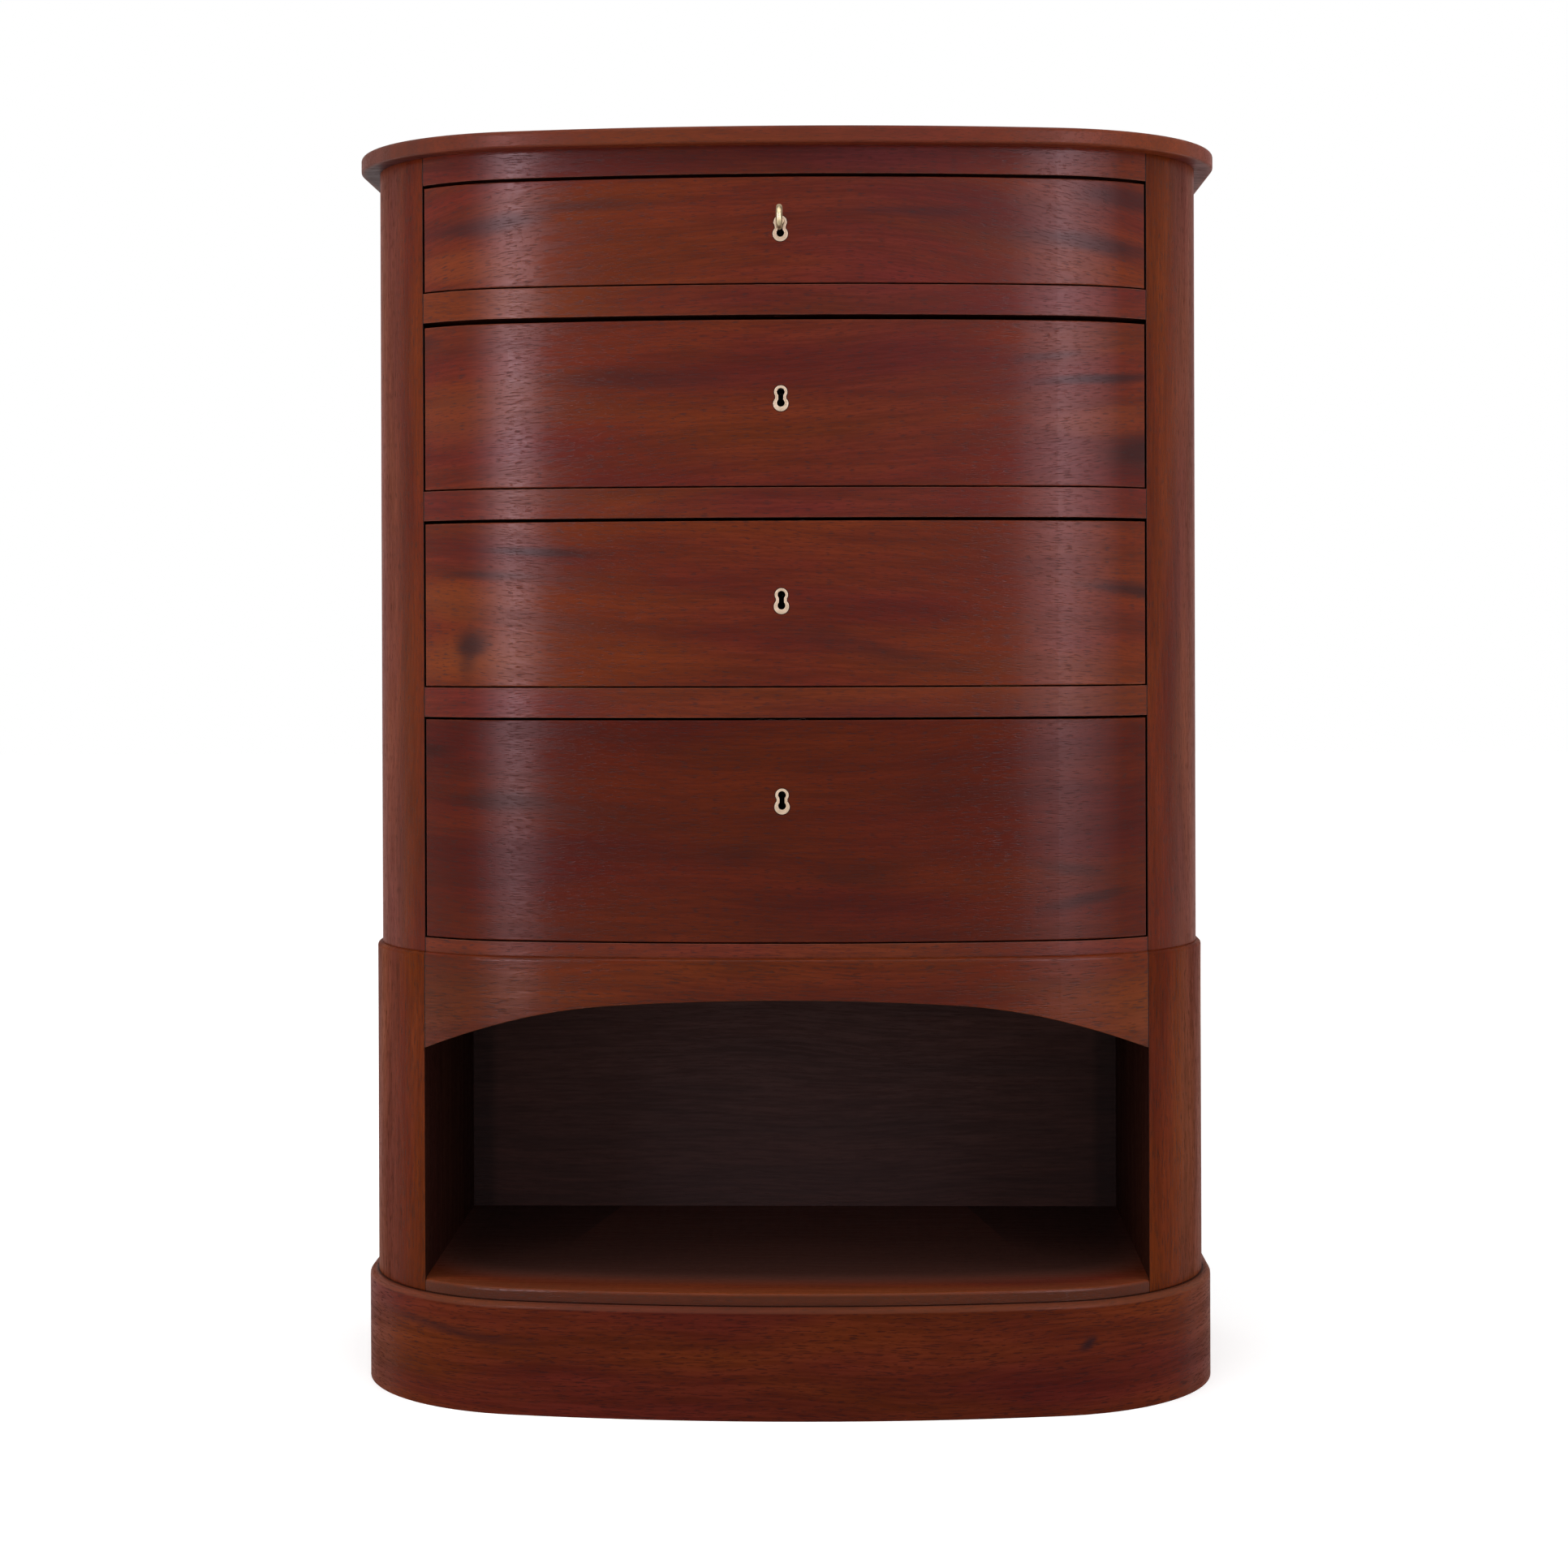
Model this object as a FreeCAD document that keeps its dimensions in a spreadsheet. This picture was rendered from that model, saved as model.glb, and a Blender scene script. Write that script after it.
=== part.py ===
"""Bow front chest of drawers on an open base, in millimetres, +Z up, its front towards -Y."""
import FreeCAD, Part
import math
import os
import re
import Sketcher

# Driving dimensions, each one a cell of the sheet
SIZES = {
    # Plan of the case: straight sides, round corners and a shallow bow between them
    "case_width": 750.0,
    "case_depth": 405.0,
    "corner_radius": 165.0,
    "bow_radius": 1335.0,
    # Overhangs of the top, the base case and the plinth past the case
    "top_overhang": 17.0,
    "base_overhang": 4.5,
    "plinth_overhang": 12.4,
    # Heights, from the floor upwards
    "plinth_height": 97.5,
    "base_height": 301.0,
    "case_bottom_thickness": 12.5,
    "opening_1_height": 96.0,
    "opening_2_height": 149.5,
    "opening_3_height": 147.5,
    "opening_4_height": 196.0,
    "rail_height": 26.0,
    "top_rail_height": 24.5,
    "top_thickness": 14.5,
    # Rounded edges
    "top_edge_radius": 3.5,
    "top_under_radius": 2.0,
    "base_edge_radius": 4.0,
    "plinth_edge_radius": 5.0,
    "shelf_edge_radius": 3.0,
    "drawer_edge_radius": 0.8,
    # Case boards
    "post_face": 55.0,
    "post_thickness": 40.0,
    "side_thickness": 20.0,
    "lining_thickness": 10.0,
    "lining_batten": 20.0,
    "side_tongue_thickness": 7.0,
    "side_tongue_length": 8.0,
    "back_thickness": 8.0,
    "back_rebate": 10.0,
    "rail_depth": 125.0,
    "tenon_length": 15.0,
    "tenon_width": 26.0,
    "tenon_height": 10.0,
    "tenon_inset": 8.0,
    "runner_width": 26.0,
    "guide_rise": 18.0,
    "stop_width": 34.0,
    "stop_depth": 15.0,
    "stop_height": 6.0,
    "stop_spacing": 380.0,
    # Base case and plinth
    "apron_thickness": 24.5,
    "arch_crown_drop": 36.0,
    "arch_radius": 2050.0,
    "arch_end_radius": 500.0,
    "arch_flat_width": 300.0,
    "shelf_thickness": 11.5,
    "plinth_thickness": 22.0,
    "plinth_back_setback": 12.0,
    # Drawers
    "gap_above_1": 2.9,
    "gap_above_2": 4.4,
    "gap_above_3": 2.9,
    "gap_above_4": 2.2,
    "drawer_gap_below": 1.3,
    "drawer_gap_side": 1.7,
    "run_clearance": 0.3,
    "front_thickness": 22.0,
    "drawer_side_thickness": 12.0,
    "drawer_side_drop": 5.0,
    "drawer_back_thickness": 12.0,
    "drawer_back_drop": 6.0,
    "drawer_rear_gap": 12.0,
    "panel_thickness": 5.0,
    "panel_rise": 10.0,
    "panel_groove_side": 5.0,
    "panel_groove_front": 6.0,
    "tail_width": 15.0,
    "tail_flare": 2.5,
    "tail_cover": 10.0,
    # Keyholes and locks
    "key_drop_top": 42.1,
    "key_drop": 67.1,
    "lock_shift": 1.2,
    "eye_radius": 3.45,
    "eye_waist_width": 4.6,
    "eye_drop": 9.3,
    "plate_top_radius": 5.7,
    "plate_foot_radius": 6.55,
    "plate_waist_width": 9.3,
    "plate_drop": 10.15,
    "plate_depth": 3.5,
    "plate_proud": 0.3,
    "lock_width": 46.0,
    "lock_above": 26.0,
    "lock_below": 17.0,
    "lock_depth": 10.0,
    "lock_wall": 1.5,
    "lock_strip_width": 18.0,
    "pin_radius": 1.3,
    "pin_clearance": 0.15,
    "bolt_width": 9.0,
    "bolt_thickness": 4.0,
    "bolt_foot": 12.5,
    "bolt_tail_width": 16.0,
    "bolt_tail_height": 3.5,
    "bolt_clearance": 0.3,
    "strike_clearance": 1.0,
    "strike_depth": 8.0,
    # Key
    "key_radius": 2.6,
    "key_reach": 44.0,
    "key_ring_radius": 10.9,
    "key_wire_radius": 2.6,
    "key_collar_radius": 3.2,
    "key_collar_length": 2.5,
    "key_collar_gap": 4.0,
    "key_bit_reach": 11.0,
    "key_bit_thickness": 2.6,
    "key_bit_gap": 1.0,
    # How far a cutter runs past the face that it cuts
    "overrun": 5.0,
}

# Places of the dovetails up each drawer side, as shares of the side's height
TAIL_SHARES = {
    1: (0.36, 0.76),
    2: (0.24, 0.52, 0.80),
    3: (0.24, 0.52, 0.80),
    4: (0.20, 0.41, 0.62, 0.83),
}
DRAWERS = tuple(TAIL_SHARES)
HANDS = {"left": -1, "right": 1}

doc = FreeCAD.newDocument("bow_front_chest")
sheet = doc.addObject("Spreadsheet::Sheet", "Sizes")
for row, (alias, size) in enumerate(SIZES.items(), start=1):
    sheet.set(f"A{row}", alias)
    sheet.set(f"B{row}", str(size))
    sheet.setAlias(f"B{row}", alias)
doc.recompute()

# Places that follow from the driving dimensions
plan = doc.addObject("App::VarSet", "Plan")
parts = {}


def spell(text):
    """Write each named size or place of a formula with the object that holds it."""
    def full_name(match):
        word = match.group(0)
        if word in SIZES:
            return "Sizes." + word
        return "Plan." + word if hasattr(plan, word) else word
    return re.sub(r"[A-Za-z_]\w*", full_name, text)


def derive(name, formula):
    """Add a place worked out from the sizes."""
    plan.addProperty("App::PropertyFloat", name, "Plan", "")
    plan.setExpression(name, spell(formula))


def bind(thing, prop, formula):
    """Tie a property of an object to a formula in named sizes and places."""
    thing.setExpression(prop, spell(formula))


def sided(hand, near, far):
    """Span across X from near to far of the middle, on the left or the right hand."""
    return (near, far) if HANDS[hand] > 0 else (f"-({far})", f"-({near})")


def block(name, x, y, z):
    """Box that spans from a low to a high place along each axis."""
    box = doc.addObject("Part::Box", name)
    for size, axis, (low, high) in zip(("Length", "Width", "Height"), "xyz", (x, y, z)):
        bind(box, size, f"({high}) - ({low})")
        bind(box, f"Placement.Base.{axis}", low)
    return box


def rod(name, radius, x, y, z):
    """Round bar along Y that spans from the low to the high place in y."""
    bar = doc.addObject("Part::Cylinder", name)
    bar.Placement = FreeCAD.Placement(FreeCAD.Vector(), FreeCAD.Rotation(FreeCAD.Vector(1, 0, 0), -90))
    bind(bar, "Radius", radius)
    bind(bar, "Height", f"({y[1]}) - ({y[0]})")
    for axis, place in zip("xyz", (x, y[0], z)):
        bind(bar, f"Placement.Base.{axis}", place)
    return bar


def fuse(name, *solids):
    """One solid from several that meet or overlap."""
    joined = doc.addObject("Part::MultiFuse", name)
    joined.Shapes = list(solids)
    joined.Refine = True
    return joined


def group(name, *solids):
    """Separate solids kept under one name."""
    bunch = doc.addObject("Part::Compound", name)
    bunch.Links = list(solids)
    return bunch


def common(name, first, second):
    """What two solids share."""
    shared = doc.addObject("Part::Common", name)
    shared.Base = first
    shared.Tool = second
    return shared


def cut(name, base, *tools):
    """A solid less one or more tools."""
    result = doc.addObject("Part::Cut", name)
    result.Base = base
    result.Tool = tools[0] if len(tools) == 1 else fuse(name + "_tools", *tools)
    return result


def keep(name, thing):
    """Name a finished piece of the chest."""
    thing.Label = name
    parts[name] = thing
    return thing


def origin_plane(body, role):
    """One of a body's own base planes."""
    return next(feature for feature in body.Origin.OriginFeatures if feature.Role == role)


def attached_sketch(body, role):
    """New sketch on a base plane of its body."""
    sketch = body.newObject("Sketcher::SketchObject", body.Name + "_sketch")
    sketch.AttachmentSupport = [(origin_plane(body, role), "")]
    sketch.MapMode = "FlatFace"
    return sketch


def arc(centre, radius, start, end):
    """Arc in a sketch from one angle round to another, in degrees."""
    circle = Part.Circle(FreeCAD.Vector(*centre, 0), FreeCAD.Vector(0, 0, 1), radius)
    return Part.ArcOfCircle(circle, math.radians(start), math.radians(end))


def line(start, end):
    """Straight edge in a sketch."""
    return Part.LineSegment(FreeCAD.Vector(*start, 0), FreeCAD.Vector(*end, 0))


def dimension(sketch, name, formula, kind, *where):
    """Named dimension of a sketch, tied to a formula, with its present value as the start."""
    index = sketch.addConstraint(Sketcher.Constraint(kind, *where))
    sketch.renameConstraint(index, name)
    bind(sketch, f"Constraints.{name}", formula)


def pad_up(body, sketch, height):
    """Raise a sketch into a solid."""
    pad = body.newObject("PartDesign::Pad", body.Name + "_pad")
    pad.Profile = sketch
    bind(pad, "Length", height)
    return pad


def plan_body(name, grow, low, height):
    """Solid with the bow front plan, grown outwards all round by a named distance."""
    body = doc.addObject("PartDesign::Body", name)
    sketch = attached_sketch(body, "XY_Plane")
    extra = getattr(plan, grow)
    half = plan.half_width + extra
    corner = sheet.corner_radius + extra
    bow = sheet.bow_radius + extra
    swing = math.degrees(math.asin(plan.corner_x / (sheet.bow_radius - sheet.corner_radius)))
    sketch.addGeometry([
        line((-half, plan.back_y), (half, plan.back_y)),
        line((half, plan.back_y), (half, plan.widest_y)),
        arc((plan.corner_x, plan.widest_y), corner, swing - 90, 0),
        arc((0, plan.bow_centre_y), bow, -90 - swing, swing - 90),
        arc((-plan.corner_x, plan.widest_y), corner, 180, 270 - swing),
        line((-half, plan.widest_y), (-half, plan.back_y)),
    ])
    back, right, right_corner, front, left_corner, left = range(6)
    sketch.addConstraint([
        Sketcher.Constraint("Coincident", back, 2, right, 1),
        Sketcher.Constraint("Coincident", left, 2, back, 1),
        Sketcher.Constraint("Tangent", right, 2, right_corner, 2),
        Sketcher.Constraint("Tangent", right_corner, 1, front, 2),
        Sketcher.Constraint("Tangent", front, 1, left_corner, 2),
        Sketcher.Constraint("Tangent", left_corner, 1, left, 1),
        Sketcher.Constraint("Vertical", right),
        Sketcher.Constraint("Vertical", left),
        Sketcher.Constraint("Equal", right_corner, left_corner),
        Sketcher.Constraint("Symmetric", back, 1, back, 2, -2),
        Sketcher.Constraint("PointOnObject", front, 3, -2),
    ])
    dimension(sketch, "width", f"2*(half_width + {grow})", "DistanceX", back, 1, back, 2, 2 * half)
    dimension(sketch, "corner", f"corner_radius + {grow}", "Radius", right_corner, corner)
    dimension(sketch, "bow", f"bow_radius + {grow}", "Radius", front, bow)
    dimension(sketch, "rear", "back_y", "DistanceY", -1, 1, back, 1, plan.back_y)
    dimension(sketch, "centre", "bow_centre_y", "DistanceY", -1, 1, front, 3, plan.bow_centre_y)
    pad_up(body, sketch, height)
    bind(body, "Placement.Base.z", low)
    doc.recompute()
    return body


def round_rim(body, at_top, radius):
    """Round the front and side rim of a plan solid, at its top or its underside."""
    solid = body.Tip
    box = solid.Shape.BoundBox
    level = box.ZMax if at_top else box.ZMin
    rim = []
    for number, edge in enumerate(solid.Shape.Edges, start=1):
        middle = edge.valueAt((edge.FirstParameter + edge.LastParameter) / 2)
        off_level = abs(edge.BoundBox.ZMin - level) + abs(edge.BoundBox.ZMax - level)
        at_level = off_level < Part.Precision.confusion()
        at_rear = abs(middle.y - plan.back_y) < Part.Precision.confusion()
        if at_level and not at_rear:
            rim.append(f"Edge{number}")
    fillet = body.newObject("PartDesign::Fillet", f"{body.Name}_{'upper' if at_top else 'lower'}_round")
    fillet.Base = (solid, rim)
    bind(fillet, "Radius", radius)
    doc.recompute()


def derive_places():
    """Every place that more than one piece uses."""
    derive("half_width", "case_width/2")
    derive("corner_x", "half_width - corner_radius")
    derive("front_y", "(key_reach - case_depth)/2")
    derive("back_y", "(key_reach + case_depth)/2")
    derive("bow_depth", "bow_radius - sqrt((bow_radius - corner_radius)^2 - corner_x^2)")
    derive("widest_y", "front_y + bow_depth")
    derive("bow_centre_y", "front_y + bow_radius")
    derive("opening_half", "half_width - post_face")
    derive("side_inside_x", "half_width - side_thickness")
    derive("back_inside_y", "back_y - back_thickness")
    derive("rail_back_y", "front_y + rail_depth")
    derive("step_z", "plinth_height + base_height")
    derive("floor_4", "step_z + case_bottom_thickness")
    for number in reversed(DRAWERS):
        derive(f"ceiling_{number}", f"floor_{number} + opening_{number}_height")
        if number > DRAWERS[0]:
            derive(f"floor_{number - 1}", f"ceiling_{number} + rail_height")
    derive("under_top_z", "ceiling_1 + top_rail_height")
    derive("shelf_z", "plinth_height + shelf_thickness")
    # How far each bow front outline lies outside the face of the case
    derive("case_grow", "0")
    derive("top_grow", "top_overhang")
    derive("base_grow", "base_overhang")
    derive("plinth_grow", "plinth_overhang")
    derive("plinth_inside_grow", "plinth_overhang - plinth_thickness")
    derive("post_inside_grow", "-post_thickness")
    derive("apron_inside_grow", "base_overhang - apron_thickness")
    derive("front_inside_grow", "-front_thickness")
    derive("panel_grow", "panel_groove_front - front_thickness")
    derive("stop_grow", "-front_thickness - run_clearance")
    # Drawers
    derive("drawer_half", "opening_half - drawer_gap_side")
    derive("drawer_inside_x", "drawer_half - drawer_side_thickness")
    derive("drawer_back_y", "back_inside_y - drawer_rear_gap")
    derive("end_face_y", "widest_y - sqrt(corner_radius^2 - (drawer_half - corner_x)^2)")
    derive("end_joint_y",
           "widest_y - sqrt((corner_radius - front_thickness)^2 - (drawer_half - corner_x)^2)")
    for number in DRAWERS:
        drop = "key_drop_top" if number == DRAWERS[0] else "key_drop"
        derive(f"front_low_{number}", f"floor_{number} + drawer_gap_below")
        derive(f"front_high_{number}", f"ceiling_{number} - gap_above_{number}")
        derive(f"side_low_{number}", f"floor_{number} + run_clearance")
        derive(f"side_high_{number}", f"front_high_{number} - drawer_side_drop")
        derive(f"panel_low_{number}", f"side_low_{number} + panel_rise")
        derive(f"panel_high_{number}", f"panel_low_{number} + panel_thickness")
        derive(f"key_z_{number}", f"ceiling_{number} - {drop}")
    derive("stop_back_y",
           "bow_centre_y + stop_depth - sqrt((bow_radius + stop_grow)^2 - (stop_spacing/2)^2)")
    # Locks, measured back from the middle of the drawer fronts
    derive("lock_x", "-lock_shift")
    derive("inside_y", "front_y + front_thickness")
    derive("lock_front_y", "inside_y - lock_depth")
    derive("lock_room_front_y", "lock_front_y + lock_wall")
    derive("lock_room_back_y", "inside_y - lock_wall")
    derive("bolt_front_y", "(lock_room_front_y + lock_room_back_y - bolt_thickness)/2")
    derive("bolt_back_y", "bolt_front_y + bolt_thickness")
    doc.recompute()


def make_outlines():
    """Tall solids of the bow front plan that the curved pieces are cut from."""
    outlines = {}
    for name in ("case", "post_inside", "front_inside", "panel", "stop"):
        outlines[name] = plan_body(f"{name}_outline", f"{name}_grow", "0", "under_top_z")
    for name in ("base", "apron_inside"):
        outlines[name] = plan_body(f"{name}_outline", f"{name}_grow", "0", "step_z")
    for name in ("plinth", "plinth_inside"):
        outlines[name] = plan_body(f"{name}_outline", f"{name}_grow", "0", "plinth_height")
    outlines["shelf"] = plan_body("shelf_outline", "base_grow", "plinth_height", "shelf_thickness")
    round_rim(outlines["base"], True, "base_edge_radius")
    round_rim(outlines["plinth"], True, "plinth_edge_radius")
    round_rim(outlines["shelf"], True, "shelf_edge_radius")
    return outlines


def make_top():
    """Thin top board with a soft edge."""
    top = keep("top_board", plan_body("top_board", "top_grow", "under_top_z", "top_thickness"))
    round_rim(top, True, "top_edge_radius")
    round_rim(top, False, "top_under_radius")


def tenon(name, hand, low, high):
    """Stub tenon at one end of a rail, half way up it."""
    middle = f"({low} + {high})/2"
    return block(name, sided(hand, "opening_half", "opening_half + tenon_length"),
                 ("rail_back_y - tenon_inset - tenon_width", "rail_back_y - tenon_inset"),
                 (f"{middle} - tenon_height/2", f"{middle} + tenon_height/2"))


def bolt_pocket(name, ceiling):
    """Pocket over a drawer that its lock bolt shoots into."""
    return block(name,
                 ("lock_x - bolt_width/2 - strike_clearance", "lock_x + bolt_width/2 + strike_clearance"),
                 ("bolt_front_y - strike_clearance", "bolt_back_y + strike_clearance"),
                 (f"{ceiling} - overrun", f"{ceiling} + strike_depth"))


def make_rails(outlines):
    """Top rail and divider rails with bow fronts, tenoned into the posts."""
    tenons = {"left": [], "right": []}
    levels = {"top_rail": ("ceiling_1", "under_top_z")}
    for number in DRAWERS[:-1]:
        levels[f"divider_rail_{number}"] = (f"ceiling_{number + 1}", f"floor_{number}")
    for name, (low, high) in levels.items():
        between = block(f"{name}_span", ("-opening_half", "opening_half"),
                        ("front_y - overrun", "rail_back_y"), (low, high))
        bowed = common(f"{name}_bowed", outlines["case"], between)
        ends = {hand: tenon(f"{name}_{hand}_tenon", hand, low, high) for hand in HANDS}
        blank = fuse(f"{name}_blank", bowed, *ends.values())
        keep(name, cut(name, blank, bolt_pocket(f"{name}_pocket", low)))
        for hand in HANDS:
            tenons[hand].append(ends[hand])
    return tenons


def make_case_sides(outlines, tenons):
    """Curved corner posts, with the side boards tongued into them and rebated for the back."""
    curve = cut("post_curve", outlines["case"], outlines["post_inside"])
    for hand in HANDS:
        tongue = block(f"upper_{hand}_tongue",
                       sided(hand, "half_width - (side_thickness + side_tongue_thickness)/2",
                             "half_width - (side_thickness - side_tongue_thickness)/2"),
                       ("widest_y - side_tongue_length", "widest_y"), ("step_z", "under_top_z"))
        corner = block(f"upper_{hand}_corner", sided(hand, "opening_half", "half_width + overrun"),
                       ("front_y - overrun", "widest_y"), ("step_z", "under_top_z"))
        post = common(f"upper_{hand}_post_blank", curve, corner)
        keep(f"upper_{hand}_post", cut(f"upper_{hand}_post", post, tongue, *tenons[hand]))
        board = block(f"upper_{hand}_board", sided(hand, "side_inside_x", "half_width"),
                      ("widest_y", "back_y"), ("step_z", "under_top_z"))
        rebate = block(f"upper_{hand}_rebate",
                       sided(hand, "side_inside_x - overrun", "half_width - back_rebate"),
                       ("back_inside_y", "back_y + overrun"), ("step_z - overrun", "under_top_z + overrun"))
        tongued = fuse(f"upper_{hand}_side_blank", board, tongue)
        keep(f"upper_{hand}_side", cut(f"upper_{hand}_side", tongued, rebate))
    keep("upper_back", block("upper_back", ("back_rebate - half_width", "half_width - back_rebate"),
                             ("back_inside_y", "back_y"), ("step_z", "under_top_z")))


def floor_board(name, outline, posts, low, high):
    """Board with a bow front between the posts that fills the plan behind them to the side boards."""
    span = block(f"{name}_span", ("-side_inside_x", "side_inside_x"),
                 ("front_y - base_overhang - overrun", "back_inside_y"), (low, high))
    blank = common(f"{name}_blank", outline, span)
    keep(name, cut(name, blank, *(parts[f"{posts}_{hand}_post"] for hand in HANDS)))


def make_runners():
    """Runners that carry the drawers, guides beside them and kickers over the top drawer."""
    along = ("rail_back_y", "back_inside_y")
    guides = []
    for hand in HANDS:
        runner_x = sided(hand, "opening_half - runner_width", "opening_half")
        guide_x = sided(hand, "opening_half", "side_inside_x")
        runners = []
        for number in DRAWERS:
            guide_low = f"floor_{number}"
            if number < DRAWERS[-1]:
                guide_low = f"ceiling_{number + 1}"
                runners.append(block(f"{hand}_runner_{number}", runner_x, along,
                                     (guide_low, f"floor_{number}")))
            guides.append(block(f"{hand}_guide_{number}", guide_x, ("widest_y", "back_inside_y"),
                                (guide_low, f"floor_{number} + guide_rise")))
        keep(f"{hand}_runners", group(f"{hand}_runners", *runners))
    keep("drawer_guides", group("drawer_guides", *guides))
    kickers = [block(f"{hand}_kicker", sided(hand, "opening_half - runner_width", "opening_half"), along,
                     ("ceiling_1", "under_top_z")) for hand in HANDS]
    keep("top_kickers", group("top_kickers", *kickers))


def make_stops(outlines):
    """Small blocks on the rails that the closed drawer fronts come up against."""
    stops = []
    for number in DRAWERS:
        for hand in HANDS:
            place = block(f"{hand}_stop_place_{number}",
                          sided(hand, "(stop_spacing - stop_width)/2", "(stop_spacing + stop_width)/2"),
                          ("front_y", "stop_back_y"),
                          (f"floor_{number}", f"floor_{number} + stop_height"))
            stops.append(common(f"{hand}_stop_{number}", outlines["stop"], place))
    keep("drawer_stops", group("drawer_stops", *stops))


def arch_body():
    """Space under the arch of the apron: a flat crown with rounder ends."""
    body = doc.addObject("PartDesign::Body", "arch_space")
    sketch = attached_sketch(body, "XZ_Plane")
    crown = plan.step_z - sheet.arch_crown_drop
    flat = sheet.arch_flat_width / 2
    end = sheet.arch_end_radius
    half = plan.opening_half
    tilt = math.asin(flat / sheet.arch_radius)
    end_x = flat - end * math.sin(tilt)
    end_z = crown - sheet.arch_radius + (sheet.arch_radius - end) * math.cos(tilt)
    lean = math.asin((half - end_x) / end)
    spring_z = end_z + end * math.cos(lean)
    turn = math.degrees(tilt)
    fall = math.degrees(lean)
    low = sheet.plinth_height
    sketch.addGeometry([
        line((-half, low), (half, low)),
        line((half, low), (half, spring_z)),
        arc((end_x, end_z), end, 90 - fall, 90 - turn),
        arc((0, crown - sheet.arch_radius), sheet.arch_radius, 90 - turn, 90 + turn),
        arc((-end_x, end_z), end, 90 + turn, 90 + fall),
        line((-half, spring_z), (-half, low)),
    ])
    sill, right, right_end, top, left_end, left = range(6)
    sketch.addConstraint([
        Sketcher.Constraint("Coincident", sill, 2, right, 1),
        Sketcher.Constraint("Coincident", right, 2, right_end, 1),
        Sketcher.Constraint("Tangent", right_end, 2, top, 1),
        Sketcher.Constraint("Tangent", top, 2, left_end, 1),
        Sketcher.Constraint("Coincident", left_end, 2, left, 1),
        Sketcher.Constraint("Coincident", left, 2, sill, 1),
        Sketcher.Constraint("Vertical", right),
        Sketcher.Constraint("Vertical", left),
        Sketcher.Constraint("Symmetric", sill, 1, sill, 2, -2),
        Sketcher.Constraint("Symmetric", top, 1, top, 2, -2),
        Sketcher.Constraint("Equal", right_end, left_end),
        Sketcher.Constraint("PointOnObject", top, 3, -2),
    ])
    dimension(sketch, "width", "2*opening_half", "DistanceX", sill, 1, sill, 2, 2 * half)
    dimension(sketch, "sill", "plinth_height", "DistanceY", -1, 1, sill, 1, low)
    dimension(sketch, "arch", "arch_radius", "Radius", top, sheet.arch_radius)
    dimension(sketch, "ends", "arch_end_radius", "Radius", right_end, end)
    dimension(sketch, "flat", "arch_flat_width", "DistanceX", top, 2, top, 1, 2 * flat)
    dimension(sketch, "centre", "step_z - arch_crown_drop - arch_radius", "DistanceY", -1, 1, top, 3,
              crown - sheet.arch_radius)
    pad = pad_up(body, sketch, "case_width + case_depth")
    pad.SideType = "Symmetric"
    doc.recompute()
    return body


def make_base(outlines):
    """Open base case: curved posts, sides lined flush with them, back, arched apron and shelf."""
    curve = cut("base_curve", outlines["base"], outlines["post_inside"])
    board = cut("base_board", outlines["base"],
                block("base_inside", ("-side_inside_x", "side_inside_x"),
                      ("front_y - base_overhang - overrun", "back_y + overrun"),
                      ("-overrun", "step_z + overrun")))
    upright = ("plinth_height", "step_z")
    for hand in HANDS:
        corner = block(f"lower_{hand}_corner",
                       sided(hand, "opening_half", "half_width + base_overhang + overrun"),
                       ("front_y - base_overhang - overrun", "widest_y"), upright)
        keep(f"lower_{hand}_post", common(f"lower_{hand}_post", curve, corner))
        flank = block(f"lower_{hand}_flank",
                      sided(hand, "side_inside_x", "half_width + base_overhang + overrun"),
                      ("widest_y", "back_y"), upright)
        rebate = block(f"lower_{hand}_rebate",
                       sided(hand, "side_inside_x - overrun", "half_width - back_rebate"),
                       ("back_inside_y", "back_y + overrun"),
                       ("plinth_height - overrun", "step_z + overrun"))
        side = common(f"lower_{hand}_side_board", board, flank)
        lining = common(f"lower_{hand}_lining", outlines["post_inside"],
                        block(f"lower_{hand}_lining_place",
                              sided(hand, "opening_half", "opening_half + lining_thickness"),
                              ("front_y", "back_inside_y"), ("shelf_z", "step_z")))
        batten = block(f"lower_{hand}_batten", sided(hand, "opening_half", "side_inside_x"),
                       ("widest_y", "back_inside_y"), ("step_z - lining_batten", "step_z"))
        lined = fuse(f"lower_{hand}_side_blank", side, lining, batten)
        keep(f"lower_{hand}_side", cut(f"lower_{hand}_side", lined, rebate))
    keep("lower_back", block("lower_back", ("back_rebate - half_width", "half_width - back_rebate"),
                             ("back_inside_y", "back_y"), upright))
    shell = cut("apron_curve", outlines["base"], outlines["apron_inside"])
    between = block("apron_span", ("-opening_half", "opening_half"),
                    ("front_y - base_overhang - overrun", "widest_y"), upright)
    keep("arched_apron", cut("arched_apron", common("apron_blank", shell, between), arch_body()))
    floor_board("base_shelf", outlines["shelf"], "lower", "plinth_height", "shelf_z")


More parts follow.
